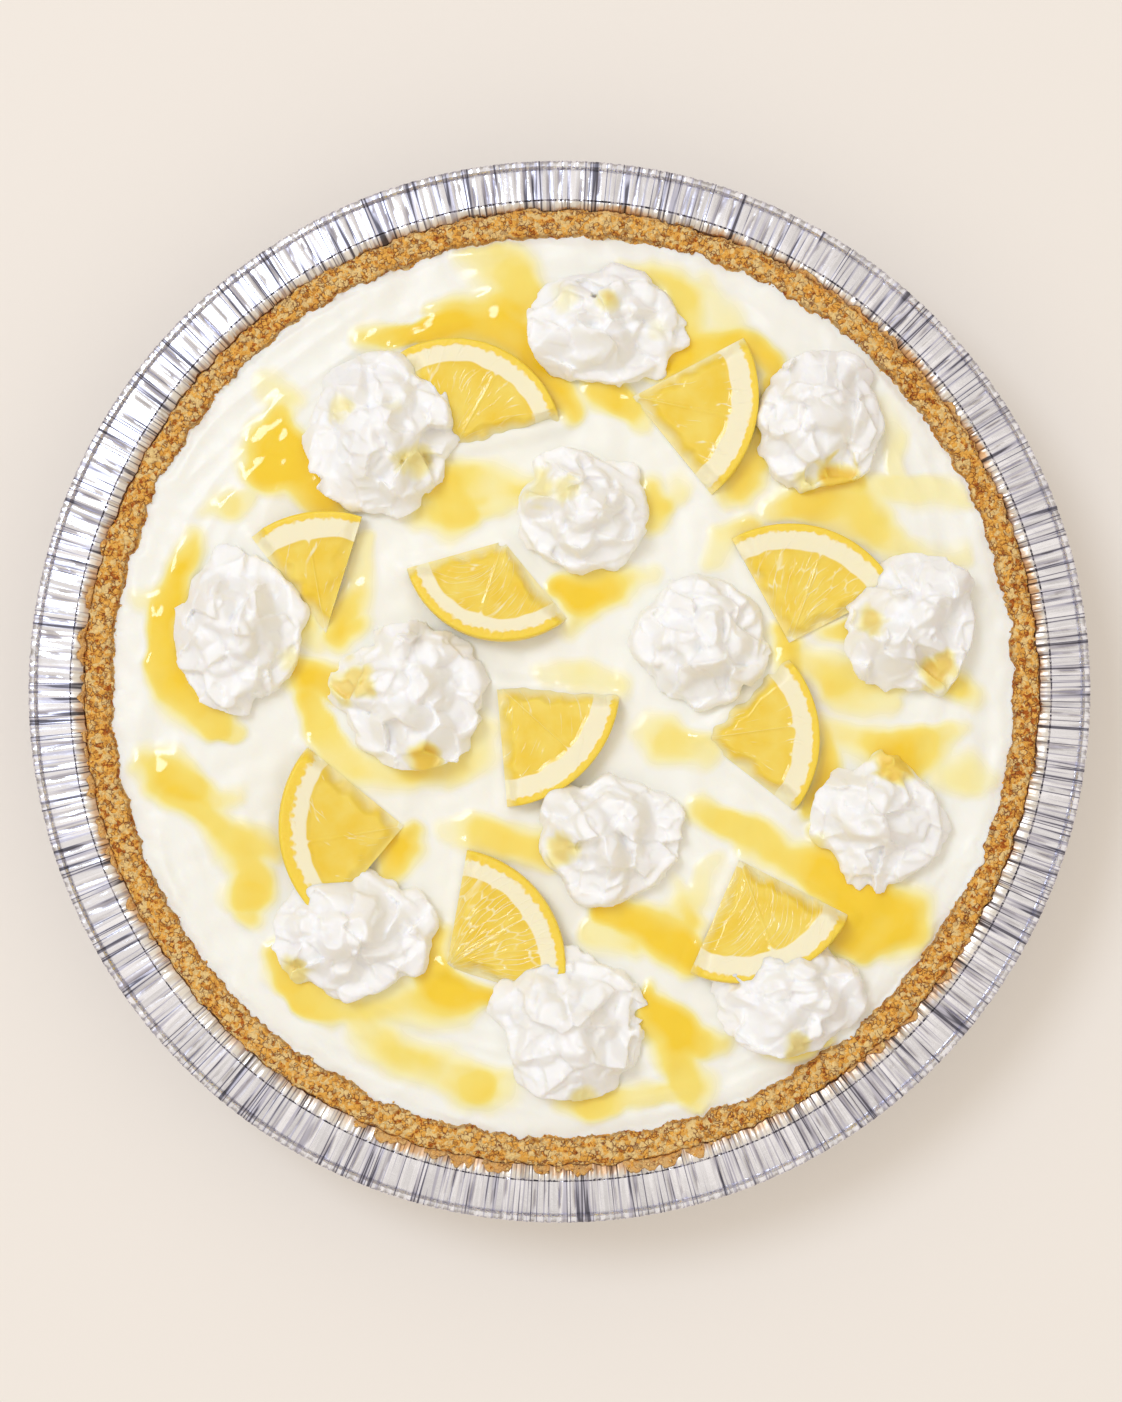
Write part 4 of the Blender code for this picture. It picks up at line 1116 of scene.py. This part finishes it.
def make_cream(settings):
    start_clean()
    bpy.ops.mesh.primitive_grid_add(
        x_subdivisions=CREAM_CELLS, y_subdivisions=CREAM_CELLS, size=2 * MM)
    cream = take_new("lemon_cream_and_sauce")
    x, y, _ = coordinates(cream).T

    # The square grid is drawn into a disc, ring by ring
    blend = smoothstep(np.maximum(np.abs(x), np.abs(y)), 0.0, 1.0)
    round_x = x * np.sqrt(1.0 - y ** 2 / 2.0)
    round_y = y * np.sqrt(1.0 - x ** 2 / 2.0)
    angles = np.arctan2(round_y, round_x)
    edge = cream_line(angles) + 0.25
    radius = np.hypot(round_x, round_y) * (
        CREAM_DISC_RADIUS + (edge - CREAM_DISC_RADIUS) * blend ** 4)
    points = polar(radius, angles)
    points[np.hypot(x, y) < 1e-9] = 0.0

    sauce = sauce_at(wavered(points), SAUCE)
    sauce = np.clip(sauce * (1.0 + 0.16 * noise_at(points, 9.0, 86)), 0.0, 1.0)
    sauce *= smoothstep(edge - radius, 0.3, 1.6)
    swirl = settings.swirl / MM
    waves = 0.5 * np.sin(5.0 * angles + radius / 11.0 + 1.4 * noise_at(points, 30.0, 81))
    strokes = noise_at(points * (1.0, 0.35, 1.0), 9.0, 82) + 0.45 * noise_at(points, 4.0, 83)
    # Long ridges that the spatula left beside the crust
    drawn = polar(4.5, angles, radius / 5.0)
    ridges = (1.0 - 2.2 * np.abs(noise_at(drawn, 1.0, 87))) * smoothstep(radius, 62.0, 84.0)
    rim = np.exp(-((edge - radius - 3.2) / 1.6) ** 2) * (0.7 + 0.5 * noise_at(points, 6.0, 84))
    ridge = np.exp(-((edge - radius - 1.2) / 0.7) ** 2)
    relief = swirl * (0.5 * waves + 0.75 * strokes + 0.45 * ridges) + 0.28 * rim - 0.2 * ridge
    height = cream_height(radius) - 0.15 + relief * (1.0 - 0.6 * sauce) + bank_at(points)
    height += settings.sauce_rise / MM * (smoothstep(sauce, 0.0, 0.45) * 0.5 + 0.5 * sauce) * (
        1.0 + 0.14 * noise_at(points, 4.5, 85))
    points[:, 2] = height
    set_coordinates(cream, points)

    with editing(cream, "DESELECT"):
        bpy.ops.mesh.select_non_manifold()
        for ratio, drop in CREAM_SIDES:
            bpy.ops.mesh.extrude_region_move(TRANSFORM_OT_translate={"value": (0, 0, -drop * MM)})
            bpy.ops.transform.resize(value=(ratio, ratio, 1.0), center_override=(0, 0, 0))
        close_selection()
    points = coordinates(cream)
    points[points[:, 2] < CREAM_WAIST, 2] = CREAM_BASE[1]
    set_coordinates(cream, points)
    give_attributes(cream, sauce=np.append(sauce, np.zeros(len(points) - len(sauce))))
    outward_normals(cream)
    shade_smooth(cream, CREAM_SMOOTH_ANGLE)
    finish_piece(cream, make_cream_material(settings), "filling")


# --- whipped cream -----------------------------------------------------------------------

DOLLOP_SEED = 300
DOLLOP_CELLS = (200, 110)
TOP_SHARE = 0.85            # of the ball's rings go to the dollop's top, the rest under it
OUTLINE_STEPS = 180
REACH_STEPS = 48            # how finely the outline is looked for at each of its steps
LEAST_REACH = 0.6
HEAP_FOOT = 0.1             # the heap ends where it is lower than this
FOLD_ROUNDING = 0.05

# Tiers of folds in a dollop: how many, how far out, half length and width, height,
# outward slope, how much slope and roll vary, steepness of the sides, and the share
# of the crown's shift that they follow
TIERS = (
    (6, 0.57, 0.42, 0.38, 0.34, -0.3, 0.15, 3.0, 0.0),
    (5, 0.38, 0.28, 0.20, 0.60, -0.25, 0.55, 2.1, 0.9),
    (3, 0.17, 0.24, 0.17, 0.84, 0.0, 0.6, 2.3, 1.0),
    (4, 0.42, 0.14, 0.10, 0.64, 0.0, 0.9, 2.6, 1.0),
)

# Where the crown stands on each dollop's skirt, off its middle, in millimetres
CROWNS = (
    (-2.0, 0.6), (-1.6, 1.6), (-1.5, 0.5), (-2.4, 2.6), (-1.8, 0.5), (-2.6, 1.8), (-0.6, -0.6),
    (-2.2, 2.0), (-3.0, 1.2), (-2.2, 1.0), (-2.4, 0.6), (-1.0, 0.6), (-0.4, 0.8),
)

# The three parts of a facet's tilt are read apart from each other in one noise
TILT_SHIFTS = (Vector((0.0, 0.0, 0.0)), Vector((31.7, 5.2, 11.9)), Vector((7.3, 43.1, 23.6)))


def draw_folds(crown_x, crown_y, draw):
    """The folds that a dollop of radius 1 and height 1 is heaped from.

    Each is its middle, heading, half length and width, squareness, height, slope along and
    across, and steepness of its sides.
    """
    folds = []
    twist = draw.choice((-1.0, 1.0)) * draw.uniform(0.2, 0.6)
    for count, ring, long, wide, height, slope, vary, steep, follow in TIERS:
        start = draw.uniform(0.0, math.tau)
        for number in range(count):
            heading = start + math.tau * (number + draw.uniform(-0.3, 0.3)) / count
            reach = ring * draw.uniform(0.8, 1.15)
            folds.append((
                follow * crown_x + reach * math.cos(heading),
                follow * crown_y + reach * math.sin(heading),
                heading + twist + draw.uniform(-1.2, 1.2),
                long * draw.uniform(0.8, 1.15), wide * draw.uniform(0.8, 1.15),
                draw.uniform(1.5, 3.4), height + draw.uniform(-0.1, 0.08),
                slope + draw.uniform(-vary, vary), draw.uniform(-vary, vary),
                steep * draw.uniform(0.7, 1.4),
            ))
    return folds


def draw_hollows(crown_x, crown_y, draw):
    """Small hollows between the folds: middle, radius and depth."""
    hollows = []
    for _ in range(3):
        heading = draw.uniform(0.0, math.tau)
        reach = draw.uniform(0.08, 0.38)
        hollows.append((crown_x + reach * math.cos(heading), crown_y + reach * math.sin(heading),
                        draw.uniform(0.07, 0.12), draw.uniform(0.12, 0.25)))
    return hollows


def torn_facets(spots):
    """Flat facets, each tilted its own way, with small steps between; about -0.5 to 0.5."""
    level = np.empty(len(spots))
    for index, spot in enumerate(spots):
        spot = Vector(spot)
        middle = noise.voronoi(spot)[1][0]
        tilt = Vector([noise.noise(middle * 5.3 + shift) for shift in TILT_SHIFTS])
        level[index] = tilt.dot(spot - middle) * 1.6 + 0.45 * tilt.z
    return level


def heaped_height(x, y, folds, hollows, seed):
    """Height of the heap of folds at each place, 0 outside it."""
    spots = stack(x, y, 1.7 * seed)
    x = x + 0.05 * noise_at(spots, 0.42, 96)
    y = y + 0.05 * noise_at(spots, 0.42, 98)
    reach = np.hypot(x, y)
    body = 0.42 - 0.2 * reach ** 2
    height = np.maximum(body + 4.0 * np.minimum(0.86 - reach, 0.0), 0.0)
    for middle_x, middle_y, heading, long, wide, square, top, slope, roll, steep in folds:
        cos, sin = math.cos(heading), math.sin(heading)
        along = (x - middle_x) * cos + (y - middle_y) * sin
        across = (y - middle_y) * cos - (x - middle_x) * sin
        inset = 1.0 - ((np.abs(along) / long) ** square
                       + (np.abs(across) / wide) ** square) ** (1 / square)
        inset *= min(long, wide)
        rounding = np.clip(1.0 - inset / FOLD_ROUNDING, 0.0, 1.0)
        level = top + slope * along + roll * across - 0.035 * rounding ** 2
        height = np.maximum(height, level + steep * np.minimum(inset, 0.0))
    flat = stack(x, y, 0.9 * seed)
    torn = (0.27 * torn_facets(flat / (0.46, 0.46, 1.0))
            + 0.07 * torn_facets(flat / (0.23, 0.23, 1.0) + 40.0))
    height = height + torn * np.clip(height / 0.4, 0.0, 1.0)
    for hollow_x, hollow_y, radius, depth in hollows:
        away = (x - hollow_x) ** 2 + (y - hollow_y) ** 2
        height *= 1.0 - depth * np.exp(-away / radius ** 2)
    return height


def heap_outline(folds, hollows, seed):
    """How far out the heap reaches at each step round it, with a torn edge."""
    around = np.arange(OUTLINE_STEPS) * math.tau / OUTLINE_STEPS
    headings = np.repeat(around, REACH_STEPS)
    reaches = np.tile(np.linspace(LEAST_REACH, 1.07, REACH_STEPS), OUTLINE_STEPS)
    levels = heaped_height(
        reaches * np.cos(headings), reaches * np.sin(headings), folds, hollows, seed)
    inside = np.where(levels > HEAP_FOOT, reaches, LEAST_REACH)
    inside = inside.reshape(OUTLINE_STEPS, REACH_STEPS).max(axis=1)
    return inside * (1.0 + 0.07 * torn_facets(polar(4.0, around, 1.3 * seed)))


def make_whipped_material(settings):
    """Whipped cream: white fat foam, matt, that light sinks a little way into."""
    material, add, shader = new_material("whipped cream", {
        "Roughness": 0.5, "Subsurface Weight": 0.6, "Subsurface Scale": 2.2 * MM,
        "Subsurface Radius": (1.0, 0.9, 0.7)})
    place = add("TexCoord", take="Object")
    stain = add("Attribute", attribute_name="sauce", take="Fac")
    tone = add("ValToRGB", (stain,), stops=(
        (0.0, settings.whipped), (0.1, settings.whipped), (0.5, linear("#F8EBAC")),
        (1.0, linear("#F0CB40"))))
    foam = add("TexNoise", {"Vector": place, "Scale": 1 / (0.8 * MM), "Detail": 3.0})
    bump = add("Bump", {"Height": foam, "Strength": 0.22, "Distance": 0.15 * MM})
    fill(shader, {"Base Color": tone, "Normal": bump})
    return material


def heaped_ball(name, width, depth, height, crown, index, grain):
    """A ball drawn out into a heap of folds, on its own middle."""
    draw = random.Random(DOLLOP_SEED + index)
    folds = draw_folds(*crown, draw)
    hollows = draw_hollows(*crown, draw)
    inside = heap_outline(folds, hollows, index)

    start_clean()
    bpy.ops.mesh.primitive_uv_sphere_add(
        segments=DOLLOP_CELLS[0], ring_count=DOLLOP_CELLS[1], radius=MM)
    dollop = take_new(name)
    ball = coordinates(dollop)
    down = np.arccos(np.clip(ball[:, 2], -1.0, 1.0)) / math.pi
    angles = angle_of(ball) % math.tau
    outline = np.interp(
        angles, np.arange(OUTLINE_STEPS + 1) * math.tau / OUTLINE_STEPS, [*inside, inside[0]])
    above = down <= TOP_SHARE
    shares = np.where(above, 1.0 - (1.0 - np.clip(down / TOP_SHARE, 0.0, 1.0)) ** 1.2,
                      0.92 * (1.0 - down) / (1.0 - TOP_SHARE))
    x, y = shares * outline * np.cos(angles), shares * outline * np.sin(angles)
    level = np.where(above, np.maximum(heaped_height(x, y, folds, hollows, index), HEAP_FOOT), 0.0)
    set_coordinates(dollop, stack(x * width / 2, y * depth / 2, level * height))
    apply_modifier(dollop, "REMESH", mode="VOXEL", voxel_size=grain, adaptivity=0.0)
    apply_modifier(dollop, "SMOOTH", factor=0.5, iterations=1)
    return dollop


def make_dollop(index, settings, material):
    x, y, width, depth, height = DOLLOPS[index]
    name = f"cream_dollop_{index + 1:02d}"
    _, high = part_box(name)
    crown = (CROWNS[index][0] / (width / 2), CROWNS[index][1] / (depth / 2))
    dollop = heaped_ball(name + "_piped", width, depth, height, crown, index, settings.grain)

    points = coordinates(dollop) + (x, y, 0.0)
    foot = cream_height(radius_of(points)) - 0.1
    top = high.z / MM
    lowest = points[:, 2].min()
    share = (points[:, 2] - lowest) / (points[:, 2].max() - lowest)
    points[:, 2] = foot + share * (top - foot.mean())
    set_coordinates(dollop, points)
    ruffle = settings.ruffle / MM * (
        noise_at(points, 3.2, 91) * 0.4 + 0.1 * noise_at(points, 1.3, 92))
    points += vertex_normals(dollop) * ruffle[:, None] * smoothstep(share, 0.02, 0.1)[:, None]
    points[:, 2] = np.minimum(points[:, 2], top)
    set_coordinates(dollop, points)

    stain = np.zeros(len(points))
    wobble = 0.28 * noise_at(points, 3.6, 95)
    for stain_x, stain_y, radius, strength in STAINS:
        away = np.hypot(points[:, 0] - stain_x, points[:, 1] - stain_y)
        level = smoothstep(radius * (1.0 + wobble) - away, -2.2, 2.0)
        stain = np.maximum(stain, strength * level)
    give_attributes(dollop, sauce=stain)
    shade_smooth(dollop)
    finish_piece(dollop, material, name)


# --- lemon slices --------------------------------------------------------------------------

SLICE_CELLS = (84, 80)      # round the wedge, and from tip to rind
SLICE_SMOOTH_ANGLE = 50
RIND_ROUNDING = 0.6
FLESH_SHARE = 0.79          # of a slice's radius, the rest is pith and rind
NO_WALL = 9.0               # as far as a slice's flesh is from a wall it hasn't got
SIDE_SINK = 3.2             # how wide a sunken side and a sunken tip slope down
TIP_SINK = 5.0


def make_lemon_material(settings):
    """A cut lemon: wet clear juice sacs, spongy white pith, waxy yellow skin."""
    material, add, shader = new_material("cut lemon", {
        "Subsurface Weight": 0.35, "Subsurface Scale": 1.8 * MM,
        "Subsurface Radius": (1.0, 0.85, 0.4)})
    place = add("TexCoord", take="Object")
    flesh, rim, streak, film = (
        add("Attribute", attribute_name=name, take="Fac")
        for name in ("flesh_depth", "rim_depth", "streak", "film"))
    pulp = add("Attribute", attribute_name="pulp_place", take="Vector")

    # Juice sacs, about 1.3 mm wide and 6 mm long, that point at the tip; their pale lines are
    # partly the sacs' walls and partly painted glints on the wet flesh
    walls = add("TexVoronoi", {"Vector": pulp, "Scale": 1.0}, feature="DISTANCE_TO_EDGE")
    thin = add("MapRange", (walls, 0.015, 0.08, 1.0, 0.0))
    patchy = add("TexNoise", {"Vector": pulp, "Scale": 0.9, "Detail": 2.0})
    threshold = add("MapRange", (streak, 0.0, 1.0, 0.62, 0.3))
    some = add("MapRange", (patchy, threshold, 0.72, 0.0, 1.0))
    lines = add("Math", (thin, some), operation="MULTIPLY")
    shown = add("Math", (lines, 0.9), operation="MULTIPLY")
    cloud = add("TexNoise", {"Vector": place, "Scale": 1 / (6 * MM), "Detail": 3.0})
    juice = add("ValToRGB", (cloud,), stops=((0.3, settings.flesh), (0.7, settings.pale_flesh)))
    wet = add("Mix", {0: shown, 6: juice, 7: settings.sac}, take=2, data_type="RGBA")

    in_flesh = add("MapRange", (flesh, -0.15, 0.3, 0.0, 1.0), interpolation_type="SMOOTHSTEP")
    body = add("Mix", {0: in_flesh, 6: settings.pith, 7: wet}, take=2, data_type="RGBA")
    scallop = add("TexVoronoi", {"Vector": place, "Scale": 1 / (1.3 * MM)})
    skin_depth = add("Math", (scallop, 0.9, rim), operation="MULTIPLY_ADD")
    in_skin = add("MapRange", (skin_depth, 1.75, 2.3, 1.0, 0.0), interpolation_type="SMOOTHSTEP")
    skinned = add("Mix", {0: in_skin, 6: body, 7: settings.rind}, take=2, data_type="RGBA")
    filmed = add("Mix", {0: film, 6: skinned, 7: settings.film}, take=2, data_type="RGBA")
    rough = add("MapRange", (in_flesh, 0.0, 1.0, 0.42, 0.12))
    pores = add("TexVoronoi", {"Vector": place, "Scale": 1 / (0.9 * MM)})
    pore_height = add("Math", (pores, in_skin), operation="MULTIPLY")
    sac_height = add("Math", (shown, 0.8, pore_height), operation="MULTIPLY_ADD")
    bump = add("Bump", {"Height": sac_height, "Strength": 0.5, "Distance": 0.2 * MM})
    fill(shader, {"Base Color": filmed, "Roughness": rough, "Normal": bump})
    return material


def slice_matrix(x, y, first, last, tilt):
    """Lay a slice on the cream's slope, then tilt its rind up; lengths in millimetres."""
    middle = math.radians((first + last) / 2)
    radius = math.hypot(x, y)
    slope = cream_height(radius + 1.0) - cream_height(radius)
    outward = Vector((x, y, 0.0)).normalized()
    lean = Matrix.Rotation(math.atan2(slope, 1.0), 4, Vector((outward.y, -outward.x, 0.0)))
    lift = Matrix.Rotation(
        math.radians(tilt), 4, Vector((math.sin(middle), -math.cos(middle), 0.0)))
    return np.array(Matrix.Translation((x, y, 0.0)) @ lift @ lean)


def slab_of(name, radius, first, last):
    """A flat wedge of even thickness, its tip at the origin: a grid drawn into a fan."""
    start_clean()
    bpy.ops.mesh.primitive_grid_add(
        x_subdivisions=SLICE_CELLS[0], y_subdivisions=SLICE_CELLS[1], size=2 * MM)
    slab = take_new(name)
    across, outward, _ = coordinates(slab).T
    angles = np.radians(first + (last - first) * (across + 1.0) / 2.0)
    reach = radius * (1.0 - (1.0 - np.clip((outward + 1.0) / 2.0, 0.0, 1.0)) ** 1.2)
    set_coordinates(slab, polar(reach, angles))
    outward_normals(slab)
    if vertex_normals(slab)[:, 2].mean() < 0.0:
        with editing(slab):
            bpy.ops.mesh.flip_normals()
    apply_modifier(slab, "SOLIDIFY", thickness=SLICE_THICKNESS * MM, offset=1.0, use_rim=True)
    return slab


def make_slice(index, material):
    x, y, radius, first, last, tilt = SLICES[index]
    walls, streak, rind = SLICE_FLESH[index]
    name = f"lemon_slice_{index + 1:02d}"
    low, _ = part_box(name)
    piece = slab_of(name + "_cut", radius, first, last)
    points = coordinates(piece)
    reach = radius_of(points)
    middle = math.radians((first + last) / 2)
    angles = middle + (angle_of(points) - middle + math.pi) % math.tau - math.pi
    around = stack(points[:, 0], points[:, 1], 7.0 * index)
    wander = noise_at(around, 3.0, 101)

    flesh_radius = FLESH_SHARE * radius + 0.25 * wander
    to_wall = np.full(len(points), NO_WALL)
    for wall in walls:
        away = np.abs(angles - math.radians(wall))
        to_wall = np.minimum(to_wall, 1.8 * reach * np.sin(np.minimum(away, math.pi / 2)) + 0.08)
    depth = smooth_min(flesh_radius - reach, to_wall, 1.6)
    depth = smooth_min(depth, reach - 1.1 - 0.4 * wander, 0.8)
    rim_depth = radius - reach
    pulp = stack(reach / 5.5, angles * 9.0 * (1.0 + 0.02 * reach), 3.7 * index)
    pulp[:, 1] += 0.35 * noise_at(around, 5.0, 102)

    top = points[:, 2] > SLICE_THICKNESS / 2
    rounding = RIND_ROUNDING - np.minimum(rim_depth, RIND_ROUNDING)
    fall = RIND_ROUNDING - np.sqrt(np.maximum(RIND_ROUNDING ** 2 - rounding ** 2, 0.0))
    swell = np.zeros(len(points))
    inside = smoothstep(depth[top], 0.0, 0.9)
    sacs = np.clip(cell_gaps(pulp[top]) * 1.5, 0.0, 1.0)
    swell[top] = -0.25 * inside + 0.22 * inside * sacs * (0.08 + 0.92 * streak)
    points[:, 2] += np.where(top, swell - fall, fall)
    matrix = slice_matrix(x, y, first, last, tilt)
    placed = points @ matrix[:3, :3].T + matrix[:3, 3]
    placed[:, 2] += low.z / MM - placed[:, 2].min()

    # Sunken sides slope down under the cream
    to_first = reach * np.sin(np.clip(angles - math.radians(first), 0.0, math.pi / 2))
    to_last = reach * np.sin(np.clip(math.radians(last) - angles, 0.0, math.pi / 2))
    cover = np.zeros(len(points))
    spans = (SIDE_SINK, SIDE_SINK, TIP_SINK)
    for distance, sunk, span in zip((to_first, to_last, reach), SLICE_SINKS[index], spans):
        cover = np.maximum(cover, sunk * (1.0 - smoothstep(distance + 0.7 * wander, 0.0, span)))
    floor = cream_height(radius_of(placed)) + 0.2
    placed[:, 2] += cover * np.minimum(floor - placed[:, 2], 0.0)
    set_coordinates(piece, placed)
    give_attributes(
        piece, film=0.75 * smoothstep(cover, 0.1, 0.9), flesh_depth=depth,
        rim_depth=rim_depth / rind, streak=np.full(len(points), streak), pulp_place=pulp)
    shade_smooth(piece, SLICE_SMOOTH_ANGLE)
    finish_piece(piece, material, name)


# --- stage -----------------------------------------------------------------------------------

CAMERA_PLACE = (0.34, -2.0, 868.0)
CAMERA_LENS = 100.0
KEY_DIRECTION = (-0.40, 0.32, 0.86)
KEY_DISTANCE = 3.0
KEY_SIZE = 1.1
SENSOR_WIDTH = 36.0
NEAREST_SEEN = 0.01
FLOOR_SIZE = 6.0
FLOOR_DROP = 0.05               # keeps the floor clear of the pan's underside


def make_floor(settings):
    start_clean()
    bpy.ops.mesh.primitive_plane_add(size=FLOOR_SIZE, location=(0, 0, -FLOOR_DROP * MM))
    floor = take_new("floor")
    bpy.ops.object.transform_apply(location=True)
    material, _, _ = new_material("matt paper floor", {
        "Base Color": settings.floor, "Roughness": 0.9,
        "Emission Color": settings.floor_glow, "Emission Strength": 0.25})
    floor.data.materials.append(material)


def add_to_scene(name, data, location):
    obj = bpy.data.objects.new(name, data)
    bpy.context.scene.collection.objects.link(obj)
    obj.location = location
    return obj


def make_lights(settings):
    key_data = bpy.data.lights.new("key", "AREA")
    key_data.shape = "DISK"
    key_data.size = KEY_SIZE
    key_data.energy = settings.key_power
    key_data.color = settings.key_colour
    direction = Vector(KEY_DIRECTION).normalized()
    key = add_to_scene("key", key_data, direction * KEY_DISTANCE)
    key.rotation_euler = direction.to_track_quat("Z", "Y").to_euler()

    world = bpy.data.worlds.new("soft room")
    bpy.context.scene.world = world
    world.use_nodes = True
    add = partial(add_node, world.node_tree)
    place = add("TexCoord", take="Generated")
    sky = add("ValToRGB", (add("SeparateXYZ", (place,), take="Z"),), stops=(
        (0.0, linear("#AFA496")), (0.35, linear("#CBC1B4")),
        (0.7, linear("#F1E9DE")), (0.92, linear("#FFF8EE"))))
    # Soft panels and gaps between them, which the foil mirrors
    panels = add("TexNoise", {"Vector": place, "Scale": 3.2, "Detail": 1.0})
    gaps = add("MapRange", (panels, 0.36, 0.6, 0.95, 1.16), interpolation_type="SMOOTHSTEP")
    lit = add("VectorMath", {0: sky, "Scale": gaps}, operation="SCALE")
    fill(world.node_tree.nodes["Background"], {"Color": lit, "Strength": settings.ambient})


def make_camera():
    camera_data = bpy.data.cameras.new("camera")
    camera_data.lens = CAMERA_LENS
    camera_data.sensor_width = SENSOR_WIDTH
    camera_data.dof.use_dof = False
    camera_data.clip_start = NEAREST_SEEN
    bpy.context.scene.camera = add_to_scene("camera", camera_data, Vector(CAMERA_PLACE) * MM)


# --- operators, panel and registration ---------------------------------------------------------

class PieOperator:
    bl_options = {"REGISTER", "UNDO"}


class PIE_OT_foil_pan(PieOperator, Operator):
    """Make the pleated foil pan with its rolled edge"""
    bl_idname = "pie.foil_pan"
    bl_label = "Foil pan"

    def execute(self, context):
        make_foil_pan(context.scene.pie_foil)
        return {"FINISHED"}


class PIE_OT_crust(PieOperator, Operator):
    """Make the crumb crust and the loose crumbs on it"""
    bl_idname = "pie.crust"
    bl_label = "Crumb crust"

    def execute(self, context):
        settings = context.scene.pie_crust
        crust, material = make_crust(settings)
        make_crumbs(crust, material, settings)
        return {"FINISHED"}


class PIE_OT_cream(PieOperator, Operator):
    """Make the lemon cream with the sauce drizzled on it"""
    bl_idname = "pie.cream"
    bl_label = "Lemon cream and sauce"

    def execute(self, context):
        make_cream(context.scene.pie_cream)
        return {"FINISHED"}


class PIE_OT_dollops(PieOperator, Operator):
    """Make the thirteen dollops of whipped cream"""
    bl_idname = "pie.dollops"
    bl_label = "Cream dollops"

    def execute(self, context):
        settings = context.scene.pie_dollops
        material = make_whipped_material(settings)
        for index in range(len(DOLLOPS)):
            make_dollop(index, settings, material)
        return {"FINISHED"}


class PIE_OT_slices(PieOperator, Operator):
    """Make the ten wedges of lemon"""
    bl_idname = "pie.slices"
    bl_label = "Lemon slices"

    def execute(self, context):
        material = make_lemon_material(context.scene.pie_lemon)
        for index in range(len(SLICES)):
            make_slice(index, material)
        return {"FINISHED"}


class PIE_OT_stage(PieOperator, Operator):
    """Make the floor, the lights and the camera"""
    bl_idname = "pie.stage"
    bl_label = "Stage"

    def execute(self, context):
        settings = context.scene.pie_stage
        context.scene.view_settings.view_transform = "Standard"
        make_floor(settings)
        make_lights(settings)
        make_camera()
        return {"FINISHED"}


OPERATORS = (
    PIE_OT_foil_pan, PIE_OT_crust, PIE_OT_cream, PIE_OT_dollops, PIE_OT_slices, PIE_OT_stage,
)


class PIE_PT_panel(Panel):
    """Lists the pie's pieces"""
    bl_idname = "PIE_PT_panel"
    bl_label = "Lemon cheesecake pie"
    bl_space_type = "VIEW_3D"
    bl_region_type = "UI"
    bl_category = "Pie"

    def draw(self, context):
        for operator in OPERATORS:
            self.layout.operator(operator.bl_idname)


SETTINGS = {
    "pie_foil": PieFoilSettings,
    "pie_crust": PieCrustSettings,
    "pie_cream": PieCreamSettings,
    "pie_dollops": PieDollopSettings,
    "pie_lemon": PieLemonSettings,
    "pie_stage": PieStageSettings,
}
CLASSES = (*SETTINGS.values(), *OPERATORS, PIE_PT_panel)


def register():
    for item in CLASSES:
        bpy.utils.register_class(item)
    for name, group in SETTINGS.items():
        setattr(bpy.types.Scene, name, PointerProperty(type=group))


def unregister():
    for name in SETTINGS:
        delattr(bpy.types.Scene, name)
    for item in reversed(CLASSES):
        bpy.utils.unregister_class(item)


def main():
    register()
    bpy.ops.pie.foil_pan()
    bpy.ops.pie.crust()
    bpy.ops.pie.cream()
    bpy.ops.pie.dollops()
    bpy.ops.pie.slices()
    bpy.ops.pie.stage()
    bpy.context.view_layer.update()


if __name__ == "__main__":
    main()
